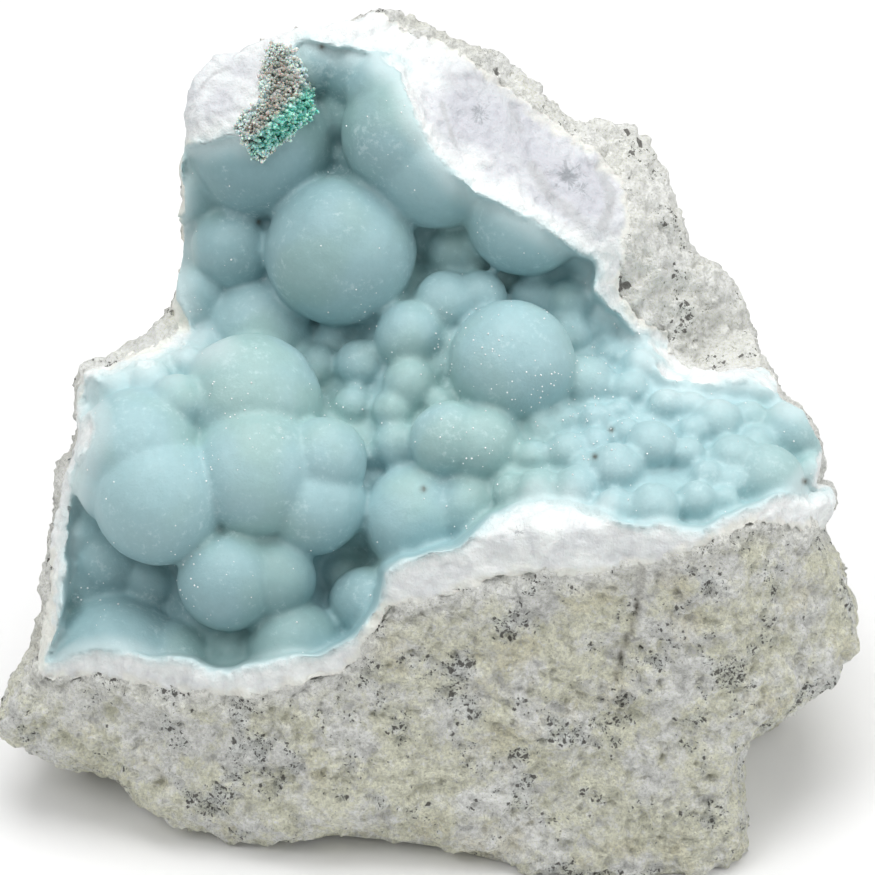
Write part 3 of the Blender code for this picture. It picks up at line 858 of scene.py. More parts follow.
@dataclass
class Quarry:
    """The rough stone, before it is parted into rock and crust."""

    cutter: SheetCutter = SheetCutter()
    depths: tuple[tuple[float, float], ...] = (
        (50.0, 0.992), (-12.0, 0.992), (-40.0, 0.965), (-95.0, 0.86),
    )
    back_breaks: tuple[tuple[Triple, Triple], ...] = (
        ((0.0, 37.5, 30.0), (0.05, 1.0, 0.10)),
        ((0.0, 33.5, 88.0), (0.0, 0.75, 0.65)),
        ((-38.0, 19.5, 30.0), (-0.75, 0.65, 0.05)),
        ((45.0, 22.5, 36.0), (0.75, 0.60, 0.20)),
        ((10.0, 33.5, 8.0), (0.1, 0.85, -0.50)),
        ((-50.0, 2.5, 10.0), (-0.80, 0.15, -0.60)),
        ((50.0, 7.5, 12.0), (0.85, 0.20, -0.45)),
        ((25.0, 35.5, 65.0), (0.55, 0.70, 0.45)),
        ((-28.0, 35.5, 66.0), (-0.60, 0.75, 0.25)),
        ((0.0, 0.0, 0.0), (0.0, 0.0, -1.0)),
    )

    def stone(self, opening: Height) -> Object:
        """The stone with its broken front, as if the hollow were filled.

        Args:
            opening: OUT of the front, raised over the hollow.

        Returns:
            The closed stone.
        """
        mesh = bmesh.new()
        rings = []
        for out, scale in self.depths:
            ring = [mesh.verts.new((x * scale, y * scale, out)) for x, y, _ in STONE_OUTLINE.corners]
            rings.append([mesh.edges.new(pair) for pair in zip(ring, ring[1:] + ring[:1])])
        for near, far in zip(rings, rings[1:]):
            bmesh.ops.bridge_loops(mesh, edges=near + far)
        for cap in (rings[0], rings[-1]):
            bmesh.ops.contextual_create(mesh, geom=cap)
        for vert in mesh.verts:
            vert.co = FACE.place(*vert.co)
        for place, facing in self.back_breaks:
            slice_off(mesh, Vector(place) * MM, Vector(facing))
        bmesh.ops.triangulate(mesh, faces=mesh.faces)
        stone = as_object("stone", mesh)
        front = self.cutter.block("front", opening, FAR_OUT)
        return combine(stone, front, Solid.TAKE)


@dataclass(frozen=True)
class Weathering:
    """The slow swells, crumbs and pits of the broken rock."""

    swell: float = 9.0
    swell_height: float = 0.9
    lump: float = 4.2
    lump_height: float = 0.8
    crumb: float = 2.1
    crumb_height: float = 0.7
    grit: float = 1.25
    grit_height: float = 0.42
    crease: float = 0.3

    def heights(self, places: Points) -> Points:
        """How far the rock's skin is moved out at places, in millimetres."""
        grit = (self.crease - np.abs(ripple(places, self.grit, 1, 5.9))) * self.grit_height
        return self.swells(places) + self.crumbs(places) + grit

    def swells(self, places: Points) -> Points:
        """The slow part of it."""
        return ripple(places, self.swell) * self.swell_height

    def crumbs(self, places: Points) -> Points:
        """The rough part of it.

        Args:
            places: One place per row, in metres.

        Returns:
            Millimetres at each place.
        """
        lumps = ripple(places, self.lump, 2, 7.3) * self.lump_height
        crumbs = ripple(places, self.crumb, 2, 3.1)
        return lumps + (self.crease - np.abs(crumbs)) * 2.0 * self.crumb_height


class Tone:
    """A number that changes over a surface; sums on it are written as plain Python."""

    def __init__(self, paint: "Paint", socket: Socket) -> None:
        """Wraps a socket of a material's nodes."""
        self.paint = paint
        self.socket = socket

    def _math(self, operation: str, *values: "Tone | float") -> "Tone":
        """A Math node on this tone and others."""
        made = self.paint.node("Math", dict(enumerate(values)), operation=operation)
        return Tone(self.paint, made.outputs[0])

    def __add__(self, other: "Tone | float") -> "Tone":
        """The sum."""
        return self._math("ADD", self, other)

    __radd__ = __add__

    def __mul__(self, other: "Tone | float") -> "Tone":
        """The product."""
        return self._math("MULTIPLY", self, other)

    __rmul__ = __mul__

    def __sub__(self, other: "Tone | float") -> "Tone":
        """This less the other."""
        return self._math("SUBTRACT", self, other)

    def __rsub__(self, other: "Tone | float") -> "Tone":
        """The other less this."""
        return self._math("SUBTRACT", other, self)

    def top(self, other: "Tone | float") -> "Tone":
        """The larger of the two."""
        return self._math("MAXIMUM", self, other)

    def step(self, low: float, high: float) -> "Tone":
        """0 at low, 1 at high, with a soft change between.

        Args:
            low: Where it starts; may be the larger of the two.
            high: Where it ends.

        Returns:
            The eased tone.
        """
        sockets = {"Value": self, "From Min": low, "From Max": high}
        made = self.paint.node("MapRange", sockets, interpolation_type="SMOOTHSTEP")
        return Tone(self.paint, made.outputs["Result"])


class Paint:
    """One material and its nodes."""

    def __init__(self, name: str) -> None:
        """Starts a material with a Principled shader.

        Args:
            name: The material's name.
        """
        self.material = bpy.data.materials.new(name)
        self.material.use_nodes = True
        self.tree = self.material.node_tree
        self.shader = self.tree.nodes["Principled BSDF"]
        self.place = self.node("TexCoord").outputs["Object"]

    def node(
        self, kind: str, sockets: dict[str | int, object] | None = None, **settings: object
    ) -> bpy.types.Node:
        """A node with its settings made first and its inputs filled after.

        Args:
            kind: The node's type.
            sockets: What its inputs get, by name or number.
            settings: Its properties.

        Returns:
            The new node.
        """
        made = self.tree.nodes.new("ShaderNode" + kind)
        for key, value in settings.items():
            setattr(made, key, value)
        self.fill(made, sockets or {})
        return made

    def fill(self, made: bpy.types.Node, sockets: dict[str | int, object]) -> None:
        """Gives a node's inputs their values or links.

        Args:
            made: The node.
            sockets: Values, tones or sockets, by the input's name or number.
        """
        for key, value in sockets.items():
            if isinstance(value, Tone):
                value = value.socket
            if isinstance(value, Socket):
                self.tree.links.new(value, made.inputs[key])
            elif made.inputs[key].type == "RGBA":
                made.inputs[key].default_value = (*value, 1.0)
            else:
                made.inputs[key].default_value = value

    def set(self, **values: object) -> None:
        """Fills inputs of the shader; underscores stand for blanks."""
        self.fill(self.shader, {key.replace("_", " "): value for key, value in values.items()})

    def noted(self, name: str) -> Tone:
        """A number stored on the piece's vertices."""
        return Tone(self, self.node("Attribute", attribute_name=name).outputs["Fac"])

    def noted_place(self, name: str) -> Socket:
        """A direction stored on the piece's vertices."""
        return self.node("Attribute", attribute_name=name).outputs["Vector"]

    def moved(self, place: Socket | None, shift: Triple) -> Socket:
        """A place, or the piece's own space if there is none, moved by a shift."""
        return self.node("Mapping", {"Vector": place or self.place, "Location": shift}).outputs[0]

    def cloud(
        self,
        size: float,
        detail: float = 3.0,
        rough: float = 0.55,
        place: Socket | None = None,
        shift: Triple = (0.0, 0.0, 0.0),
    ) -> Tone:
        """Noise over the surface, from 0 to 1.

        Args:
            size: Millimetres across one swell.
            detail: How many finer layers it has.
            rough: How strong those are.
            place: What it is read on, the piece's own space if left out.
            shift: Moves the pattern, to get another one.

        Returns:
            The noise.
        """
        sockets = {"Scale": 1.0 / (size * MM), "Detail": detail, "Roughness": rough}
        made = self.node("TexNoise", {"Vector": self.moved(place, shift), **sockets})
        return Tone(self, made.outputs["Fac"])

    def cells(self, size: float, place: Socket, shift: float) -> tuple[Tone, Tone]:
        """Many scattered points.

        Args:
            size: Millimetres between the points.
            place: What they are scattered on.
            shift: Moves the pattern.

        Returns:
            The distance to the nearest point, in sizes, and that point's own chance.
        """
        spot = self.moved(place, (shift, shift * 0.7, shift * 1.3))
        made = self.node("TexVoronoi", {"Vector": spot, "Scale": 1.0 / (size * MM)})
        chance = self.node("SeparateColor", {0: made.outputs["Color"]})
        return Tone(self, made.outputs["Distance"]), Tone(self, chance.outputs[0])

    def stirred(self, size: float, reach: float) -> Socket:
        """The piece's own space, stirred by noise.

        Args:
            size: Millimetres across one swirl.
            reach: Millimetres that it moves a place by at most.

        Returns:
            The stirred place.
        """
        sockets = {"Vector": self.place, "Scale": 1.0 / (size * MM), "Detail": 2.0}
        place = self.node("TexNoise", sockets).outputs["Color"]
        for operation, other in (
            ("SUBTRACT", {1: (0.5, 0.5, 0.5)}),
            ("SCALE", {"Scale": 2.0 * reach * MM}),
            ("ADD", {1: self.place}),
        ):
            made = self.node("VectorMath", {0: place, **other}, operation=operation)
            place = made.outputs[0]
        return place

    def mix(self, share: Tone | float, first: Shade, second: Shade, blend: str = "MIX") -> Socket:
        """One colour going over to another.

        Args:
            share: How much of the second.
            first: A colour or a socket.
            second: A colour or a socket.
            blend: How they are put together.

        Returns:
            The mixed colour.
        """
        sockets = {0: share, 6: first, 7: second}
        return self.node("Mix", sockets, data_type="RGBA", blend_type=blend).outputs[2]

    def coated(self, ground: Shade, *coats: tuple[Tone | float, Shade]) -> Shade:
        """A colour with others laid over it in turn.

        Args:
            ground: The first colour.
            coats: The share of each further colour, and that colour.

        Returns:
            The finished colour.
        """
        for share, coat in coats:
            ground = self.mix(share, ground, coat)
        return ground

    def shaded(self, colour: Shade, tone: Tone) -> Socket:
        """A colour made lighter or darker by a tone."""
        grey = self.node("CombineColor", {0: tone, 1: tone, 2: tone}).outputs[0]
        return self.mix(1.0, colour, grey, "MULTIPLY")

    def rough(self, height: Tone, depth: float) -> None:
        """Makes the surface look uneven; depth is the millimetres of a height of 1."""
        bump = self.node("Bump", {"Height": height, "Distance": depth * MM})
        self.set(Normal=bump.outputs[0])


@dataclass(frozen=True)
class CrustFinish:
    """Satin blue on the balls, going over to a white fibrous broken edge."""

    lit_blue: Colour = (0.35, 0.53, 0.56)
    green_blue: Colour = (0.34, 0.51, 0.50)
    # painted light: the paler blue of the right floor, which faces up towards the light
    painted_light_blue: Colour = (0.41, 0.59, 0.62)
    # painted shade: the darker blue laid into the coves, on the upper left wall and on undersides
    painted_shade_blue: Colour = (0.15, 0.27, 0.30)
    rim_aqua: Colour = (0.62, 0.74, 0.75)
    white: Colour = (0.82, 0.85, 0.84)
    lilac: Colour = (0.55, 0.56, 0.60)
    veil_grey: Colour = (0.47, 0.48, 0.49)
    fibre_grey: Colour = (0.26, 0.28, 0.30)
    stain: Colour = (0.80, 0.79, 0.68)
    speck: Colour = (0.10, 0.09, 0.07)

    def make(self) -> bpy.types.Material:
        """Puts the finish together.

        Returns:
            The material.
        """
        paint = Paint("aragonite crust")
        broken = paint.noted("broken")
        mottle = paint.cloud(0.9, 4.0, 0.7)
        colour = paint.mix(broken, self.blue(paint, mottle), self.section(paint, mottle))
        paint.set(Base_Color=colour, Roughness=broken * 0.25 + 0.42 + mottle * 0.12)
        grain = paint.cloud(0.34, 2.0, 0.6)
        paint.rough(grain * (broken * 2.0 + 0.8) + paint.cloud(1.4, 3.0, 0.6) * broken * 3.0, 0.06)
        paint.set(Subsurface_Weight=0.12, Subsurface_Scale=0.0009)
        paint.set(Subsurface_Radius=(0.6, 1.0, 1.0), Specular_IOR_Level=0.38)
        return paint.material

    def blue(self, paint: Paint, mottle: Tone) -> Socket:
        """The unbroken face: two blues, with painted shade in the coves, on the upper left wall and
        on undersides, painted light on the right floor, and paler at the rim.

        Args:
            paint: The material.
            mottle: Its fine noise.

        Returns:
            The colour.
        """
        # pale: painted light on the right floor, which also weakens the painted shade in its coves
        pale = paint.noted("pale")
        rim = 1.0 - (paint.noted("rim") + mottle * 0.8).step(0.2, 3.4)
        dust = (mottle + paint.cloud(7.0, 2.0, shift=(0.2, 0.1, 0.4)) * 0.5).step(0.82, 1.0)
        blue = paint.coated(
            self.lit_blue,
            (paint.cloud(15.0, 2.0).step(0.42, 0.62), self.green_blue),
            (pale * 0.8, self.painted_light_blue),
            # painted shade on the upper left wall, in the lower middle corner and on the undersides
            (paint.noted("dusky") * 0.4, self.painted_shade_blue),
            # painted shade in the coves between the balls, darker where the cove is deeper
            (paint.noted("cove").step(1.5, 10.0) * (1.0 - pale * 0.7), self.painted_shade_blue),
            (rim * 0.7, self.rim_aqua),
            (dust * 0.3, self.rim_aqua),
            (paint.noted("speck"), self.speck),
        )
        return paint.shaded(blue, mottle * 0.2 + 0.9)

    def section(self, paint: Paint, mottle: Tone) -> Socket:
        """The broken edge: white with lilac clouds, grey feathers and a clear blue lip.

        Args:
            paint: The material.
            mottle: Its fine noise.

        Returns:
            The colour.
        """
        deep = paint.noted("deep")
        ragged = (paint.cloud(1.3, 3.0, 0.65) - 0.5) * 0.9
        fans = paint.cloud(0.22 / MM, 3.0, 0.6, paint.noted_place("fan_way"))
        feather = (fans * 1.5 - 0.4 - paint.noted("fan_reach") + ragged * 1.6).step(-0.1, 0.35)
        clouds = paint.cloud(4.2, 3.0, 0.55, shift=(0.1, 0.5, 0.3)).step(0.4, 0.62)
        inner = (deep + mottle * 1.5).step(1.6, 4.2)
        streaks = paint.cloud(0.9 / MM, 3.0, 0.6, paint.noted_place("fibre")).step(0.5, 0.7)
        veil = (paint.noted("veil") + ragged * 0.9).step(0.15, 0.95)
        lip = 1.0 - (deep + mottle * 0.7).step(0.4, 1.9)
        colour = paint.coated(
            self.white,
            (clouds * (inner * 0.25 + 0.1) + paint.noted("haze") * inner * 0.95, self.lilac),
            (streaks * 0.3, self.lilac),
            (veil * 0.7, self.veil_grey),
            (feather * 0.7, self.fibre_grey),
            (lip * 0.8, self.rim_aqua),
            (paint.noted("stain"), self.stain),
        )
        return paint.shaded(colour, mottle * 0.3 + 0.85)


@dataclass(frozen=True)
class RockFinish:
    """Pale sugary rock with grey clouds, yellow stains and dark grains, with painted shade in its
    grooves and painted light on its raised crumbs and chalky faces.
    """

    cream: Colour = (0.91, 0.91, 0.74)
    chalk: Colour = (0.97, 0.98, 0.94)
    grey: Colour = (0.66, 0.70, 0.68)
    yellow: Colour = (0.88, 0.83, 0.60)
    # painted shade: dark colour laid into the low places of the relief and along the crack
    painted_groove_shade: Colour = (0.34, 0.32, 0.25)
    grain: Colour = (0.075, 0.07, 0.06)

    def make(self) -> bpy.types.Material:
        """Puts the finish together.

        Returns:
            The material.
        """
        paint = Paint("host rock")
        fine = paint.cloud(0.5, 4.0, 0.8)
        lumps = paint.cloud(1.7, 4.0, 0.62, shift=(0.05, 0.02, 0.08))
        clusters = paint.cloud(5.5, 3.0, 0.6, shift=(0.2, 0.9, 0.5))
        crumbly_relief = paint.cloud(1.0, 5.0, 0.72, shift=(0.4, 0.3, 0.1))
        blot = (paint.noted("blot") * 1.5 + crumbly_relief - 0.5).step(0.45, 0.7)
        dark = self.grains(paint, clusters).top(blot)
        colour = paint.coated(
            self.ground(paint, clusters),
            # painted shade in the grooves, in the hollows between the lumps and along the crack
            ((1.0 - crumbly_relief.step(0.32, 0.40)) * 0.55, self.painted_groove_shade),
            ((1.0 - lumps.step(0.30, 0.40)) * 0.25, self.painted_groove_shade),
            # paler chalk on the raised crumbs, partly painted light on their tops
            (crumbly_relief.step(0.52, 0.64) * 0.7, self.chalk),
            (dark * 0.85, self.grain),
            (paint.noted("crack"), self.painted_groove_shade),
        )
        # the chalky places are made lighter still, partly painted light
        sugar = fine.step(0.37, 0.62) * 0.34 + 0.79 + paint.noted("chalky") * 0.1
        paint.set(Base_Color=paint.shaded(colour, sugar), Roughness=fine * 0.1 + 0.8)
        paint.rough(fine * 0.9 + lumps * 1.8 + crumbly_relief * 1.8 - dark * 0.4, 0.58)
        paint.set(Specular_IOR_Level=0.35)
        return paint.material

    def ground(self, paint: Paint, clusters: Tone) -> Shade:
        """Cream and chalk with yellow stains, grey where the dark grains gather, chalk-white near
        the crust and on the chalky faces, partly painted light.

        Args:
            paint: The material.
            clusters: Where the dark grains gather.

        Returns:
            The colour.
        """
        broad = paint.cloud(7.0, 5.0, 0.65).step(0.44, 0.6)
        stains = paint.cloud(9.0, 4.0, 0.65, shift=(0.7, 0.4, 0.0)).step(0.52, 0.66)
        # chalk near the crust edge and on the chalky faces, the latter partly painted light
        near = (1.0 - paint.noted("rim").step(0.3, 4.0)).top(paint.noted("chalky"))
        return paint.coated(
            self.cream,
            (broad, self.chalk),
            (stains * 0.45, self.yellow),
            (clusters.step(0.53, 0.68) * 0.45, self.grey),
            (near * 0.85, self.chalk),
        )

    def grains(self, paint: Paint, clusters: Tone) -> Tone:
        """Dark grains in three sizes, most of them in clusters.

        Args:
            paint: The material.
            clusters: Where they gather.

        Returns:
            1 on the grains and 0 between them.
        """
        stirred = paint.stirred(0.6, 0.6)
        gathered = (clusters - 0.5).top(0.0) * 2.2
        sizes = []
        for size, shift, share in ((1.05, 0.0, 0.42), (0.6, 0.31, 0.46), (0.4, 0.57, 0.4)):
            apart, chance = paint.cells(size, stirred, shift)
            radius = (gathered + chance * share - 0.3).step(-0.05, 0.4) * 0.44 - 0.04
            sizes.append((radius - apart).step(-0.03, 0.1))
        return sizes[0].top(sizes[1]).top(sizes[2])


@dataclass(frozen=True)
class DruseFinish:
    """Small glassy crystals, grey-brown and white going over to teal green."""

    brown: Colour = (0.45, 0.45, 0.41)
    pale: Colour = (0.74, 0.79, 0.75)
    green: Colour = (0.18, 0.64, 0.54)
    light_green: Colour = (0.58, 0.86, 0.78)

    def make(self) -> bpy.types.Material:
        """Puts the finish together.

        Returns:
            The material.
        """
        paint = Paint("green druse")
        clouds = paint.cloud(0.8, 3.0, 0.65)
        broad = paint.cloud(3.0, 2.0, 0.6, shift=(0.1, 0.2, 0.3))
        inner = paint.noted("inner").step(0.2, 2.2)
        white = (clouds * 0.6 + broad * 0.6 - inner * 0.22).step(0.42, 0.62)
        teal = paint.mix(clouds.step(0.42, 0.62), self.green, self.light_green)
        green = (paint.noted("green") + (clouds - 0.5) * 1.1).step(0.25, 0.6)
        colour = paint.coated(self.brown, (white, self.pale), (green, teal))
        paint.set(Base_Color=colour, Roughness=clouds * 0.2 + 0.22)
        paint.set(Subsurface_Weight=0.4, Subsurface_Scale=0.0015, IOR=1.55)
        return paint.material


@dataclass(frozen=True)
class GrainFinish:
    """White sparkling grains on the crust."""

    white: Colour = (0.90, 0.92, 0.92)

    def make(self) -> bpy.types.Material:
        """Puts the finish together.

        Returns:
            The material.
        """
        paint = Paint("sparkling grains")
        paint.set(Base_Color=self.white, Roughness=0.2, Specular_IOR_Level=0.7)
        return paint.material


def dress(made: Object, material: bpy.types.Material, node: str, smooth: bool = True) -> None:
    """Shades a finished piece, paints it and puts it in a CAD node's place.

    Args:
        made: The piece.
        material: Its finish.
        node: The node it stands for, whose CAD part is hidden.
        smooth: False for crystals with flat faces.
    """
    made.data.polygons.foreach_set("use_smooth", [smooth] * len(made.data.polygons))
    made.data.materials.clear()
    made.data.materials.append(material)
    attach(made, "root")
    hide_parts(node)
    LOG.info("%s: %d faces", made.name, len(made.data.polygons))


@dataclass
class HostRock:
    """The pale rock, with the bed of the hollow cut into it."""

    skin: float = 0.62
    triangles: int = 190000
    weathering: Weathering = Weathering()
    finish: RockFinish = RockFinish()
    crack: Stroke = Stroke(
        ((26.5, -16.5), (26.3, -21.0), (25.3, -25.0), (24.0, -28.0), (23.3, -31.5)), 0.34, 0.8
    )
    crack_depth: float = 0.75
    covered_inset: float = 2.0
    covered_depth: float = 1.0
    resting_tilt: float = -0.6
    resting_height: float = 1.5
    blots: tuple[Stroke, ...] = (
        Stroke(((22.9, 20.8), (23.4, 19.8)), 1.1),
        Stroke.spot(24.9, 19.8, 0.6, 0.8),
        Stroke.spot(7.6, 47.5, 0.8, 0.6),
        Stroke(((24.4, 40.0), (24.9, 39.5)), 0.24, 0.8),
        Stroke(((25.9, 38.6), (26.3, 37.6)), 0.24, 0.8),
        Stroke(((-47.5, 3.6), (-46.6, 3.9)), 0.4, 0.7),
        Stroke(((-45.4, -29.6), (-43.6, -30.6)), 0.5, 0.7),
    )

    def build(self, stone: Object, hollow: Object, pocket: HeightMap) -> Object:
        """Cuts, weathers and dresses the rock.

        Args:
            stone: The whole stone; it becomes the rock.
            hollow: What is cut out of it.
            pocket: OUT of the bed that is cut.

        Returns:
            The rock.
        """
        combine(stone, hollow, Solid.TAKE)
        keep_largest(stone)
        reskin(stone, self.skin)
        keep_largest(stone)
        stone.name = "weathered_rock"
        spots = FACE.read(corners_of(stone)[0])
        bed = CRUST_EDGE.inside(spots) > self.covered_inset
        bed &= spots[:, 2] > pocket(spots) - self.covered_depth
        thin_out(stone, bed, self.triangles)
        places, normals = corners_of(stone)
        spots = FACE.read(places)
        facing = normals @ np.array(FACE.outward)
        # crack: where the crack runs; it is pressed in, and the finish paints shade into it
        crack = self.crack.share(spots) * eased(0.3, 0.6, facing)
        right = eased(4.0, 14.0, spots[:, 0])
        left = eased(-32.0, -36.0, spots[:, 0])
        upper = eased(1.0, 9.0, spots[:, 1])
        note(
            stone,
            crack=crack,
            blot=strongest(self.blots, spots) * eased(-0.2, 0.2, facing),
            rim=np.maximum(-CRUST_EDGE.inside(spots), 0.0),
            # chalky: the whiter rock at the upper left and right, also painted light on those faces
            chalky=np.maximum(right, left) * upper * eased(-0.4, 0.0, facing),
        )
        resting = (normals[:, 2] < self.resting_tilt) & (places[:, 2] < self.resting_height * MM)
        heights = self.weathering.heights(places) - crack * self.crack_depth
        push(stone, normals, np.where(resting, 0.0, heights))
        self.level(stone)
        dress(stone, self.finish.make(), "host_rock")
        return stone

    def level(self, rock: Object) -> None:
        """Keeps the rock on the ground: nothing reaches below its resting face.

        Args:
            rock: The rock.
        """
        places, _ = corners_of(rock)
        places[:, 2] = np.maximum(places[:, 2], 0.0)
        move_to(rock, places)


@dataclass
class AragoniteCrust:
    """The lining of the hollow: balls grown together on a sheet, broken at its edge."""

    first_skin: float = 0.38
    skin: float = 0.42
    triangles: int = 190000
    floor_out: float = -34.0
    lower_end: float = -38.0
    outer_end: float = 26.0
    overlap: float = 0.9
    slack: float = 1.5
    softness: float = 0.35
    lining_play: float = 0.8
    hidden_depth: float = 1.0
    front_depth: float = 2.5
    middling_ball: float = 3.0
    big_ball: float = 7.0
    breaking: tuple[float, float] = (0.12, 0.35)
    tops_share: float = 0.9
    farthest: float = 9.0
    deepest_cove: float = 20.0
    cutter: SheetCutter = SheetCutter(cell=0.5)
    weathering: Weathering = Weathering()
    finish: CrustFinish = CrustFinish()
    fans: tuple[Triple, ...] = (
        (5.5, 42.1, 3.0), (17.0, 34.0, 4.0), (18.5, 32.0, 2.2), (10.5, -12.2, 1.4),
    )
    hazes: tuple[Stroke, ...] = (
        Stroke(((3.5, 43.5), (8.0, 41.0), (19.5, 31.5)), 5.5),
        Stroke(((-31.0, 42.0), (-27.0, 47.0)), 4.5, 0.45),
    )
    veils: tuple[Stroke, ...] = (
        Stroke(((12.3, 35.4), (14.6, 31.8), (18.6, 27.8)), 0.9),
        Stroke(((21.0, 35.2), (22.2, 31.6), (22.1, 29.2), (20.9, 27.2)), 0.8, 1.2),
        Stroke(((0.6, 43.6), (1.3, 40.4), (2.2, 38.0)), 0.4),
        Stroke(((2.0, 46.2), (5.5, 46.6), (9.5, 44.6), (10.4, 40.6)), 1.7, 0.6),
        Stroke(((-26.0, 43.0), (-24.4, 41.6), (-23.0, 41.0)), 0.5, 0.7),
        Stroke(((-31.2, 45.2), (-29.2, 47.4), (-27.0, 48.3)), 0.3, 0.9),
    )
    specks: tuple[Stroke, ...] = tuple(
        Stroke((place,), 0.38)
        for place in (
            (-1.8, -6.7), (22.6, 1.0), (20.5, -2.5), (47.7, -5.7), (-23.2, 28.0), (-15.0, 50.8),
        )
    )

    def balls(self) -> Object:
        """Every ball, as overlapping closed balls in one object.

        Returns:
            The object.
        """
        mesh = bmesh.new()
        for across, up, radius, out in BALLS:
            bmesh.ops.create_icosphere(
                mesh,
                subdivisions=3 + int(radius > self.middling_ball) + int(radius > self.big_ball),
                radius=radius * FACE.share(out) * MM,
                matrix=Matrix.Translation(FACE.place(across, up, out)),
            )
        return as_object("balls", mesh)

    def build(
        self, stone: Object, hollow: Object, opening: HeightMap, lining: HeightMap
    ) -> Object:
        """Grows, breaks and dresses the crust.

        Args:
            stone: The whole stone, which it is kept inside.
            hollow: What lies above the rock's bed.
            opening: OUT of the broken front, raised over the hollow.
            lining: OUT of the crust's face between the balls.

        Returns:
            The crust.
        """
        sheet = self.cutter.block("sheet", lining, self.floor_out)
        combine(sheet, twin(hollow, "deep_bed", -self.overlap - self.slack), Solid.KEEP_SHARED)
        self.trim(sheet)
        crust = gather("ball_covered_crust", [sheet, self.balls()])
        reskin(crust, self.first_skin)
        combine(crust, twin(hollow, "bed", -self.overlap), Solid.KEEP_SHARED)
        combine(crust, twin(stone, "outside"), Solid.KEEP_SHARED)
        keep_largest(crust)
        reskin(crust, self.skin)
        keep_largest(crust)
        soften(crust, self.softness)
        spots = FACE.read(corners_of(crust)[0])
        under_lining = lining(spots) - spots[:, 2] - self.lining_play
        hidden = np.maximum(under_lining, self.ball_depth(crust)) > self.hidden_depth
        hidden &= opening(spots) - spots[:, 2] > self.front_depth
        thin_out(crust, hidden, self.triangles)
        self.mark(crust, opening, lining)
        dress(crust, self.finish.make(), "aragonite_crust")
        return crust

    def trim(self, sheet: Object) -> None:
        """Cuts off the far ends of the sheet, where there is no crust.

        Args:
            sheet: The sheet.
        """
        with edited(sheet) as mesh:
            slice_off(mesh, FACE.place(0.0, self.lower_end, 0.0), -FACE.upslope)
            slice_off(mesh, FACE.place(0.0, 0.0, self.outer_end), FACE.outward)

    def ball_depth(self, crust: Object) -> Points:
        """How far each vertex lies inside the nearest ball.

        Args:
            crust: The crust.

        Returns:
            Millimetres for each vertex.
        """
        places, _ = corners_of(crust)
        deep = np.full(len(places), FAR_IN)
        for across, up, radius, out in BALLS:
            middle = np.array(FACE.place(across, up, out))
            apart = np.linalg.norm(places - middle, axis=1) / MM
            deep = np.maximum(deep, radius * FACE.share(out) - apart)
        return deep

    def mark(self, crust: Object, opening: HeightMap, lining: HeightMap) -> None:
        """Notes on the vertices what is broken, deep or near the rim, and adds relief.

        Args:
            crust: The crust, still smooth.
            opening: OUT of the broken front.
            lining: OUT of the face between the balls.
        """
        places, normals = corners_of(crust)
        spots = FACE.read(places)
        rim = (opening(spots) - spots[:, 2]) / np.hypot(1.0, opening.slope(spots))
        under_lining = (lining(spots) - spots[:, 2]) / np.hypot(1.0, lining.slope(spots))
        deep = np.maximum(under_lining, self.ball_depth(crust))
        broken = eased(*self.breaking, deep)
        distance, along = LINING_EDGE.nearest(spots)
        flat_rim = np.minimum(rim, (np.maximum(distance, 0.0) + 0.2 * rim) * 0.7)
        rim += (flat_rim - rim) * eased(10.0, 18.0, spots[:, 1])
        beyond = -CRUST_EDGE.inside(spots) + 1.1 + 0.9 * ripple(places, 2.2, 3, 4.4)
        # cove: depth below the ball tops, which the finish turns into painted shade
        cove = SHAPE.ball_sheet(spots, self.tops_share) - spots[:, 2]
        note(
            crust,
            deep=np.clip(deep, 0.0, self.farthest),
            broken=broken,
            cove=np.clip(cove, 0.0, self.deepest_cove),
            rim=np.clip(rim, 0.0, self.farthest),
            fibre=np.stack([along, distance * 0.12, along * 0.0], axis=1),
            stain=eased(0.0, 1.2, beyond) * 0.5,
            speck=strongest(self.specks, spots),
            veil=strongest(self.veils, spots),
            haze=strongest(self.hazes, spots),
        )
        self.mark_shades(crust, spots, normals @ np.array(FACE.upslope))
        self.mark_fans(crust, spots)
        soft = ripple(places, 6.5, 2, 1.7) * 0.22 + ripple(places, 1.5, 2, 2.6) * 0.05
        chipped = self.weathering.swells(places) + self.weathering.crumbs(places) * 0.4
        chipped += ripple(places, 1.3, 2, 8.2) * 0.14
        push(crust, normals, soft * (1.0 - broken) + chipped * broken)

    def mark_shades(self, crust: Object, spots: Points, rising: Points) -> None:
        """Notes where painted light makes the blue paler and painted shade makes it darker.

        Args:
            crust: The crust.
            spots: ACROSS, UP and OUT of its vertices.
            rising: How far each faces up the slope, from -1 to 1.
        """
        # painted light: the floor on the right, which faces up towards the light, is noted paler
        floor = eased(8.0, 24.0, spots[:, 0]) * eased(20.0, 8.0, spots[:, 1])
        floor = floor * (1.0 - 0.7 * eased(36.0, 48.0, spots[:, 0]))
        # painted shade where the upper left wall gets little light, and in the lower middle corner
        wall = eased(-2.0, -14.0, spots[:, 0]) * eased(10.0, 34.0, spots[:, 1])
        corner = eased(-6.0, -14.0, spots[:, 0]) * eased(-11.0, -19.0, spots[:, 1])
        # painted shade on faces that point down the slope, away from the light above
        underside_shade = eased(0.25, -0.75, rising)
        note(crust, pale=floor, dusky=np.maximum(wall, corner * 0.8) + underside_shade * 0.7)

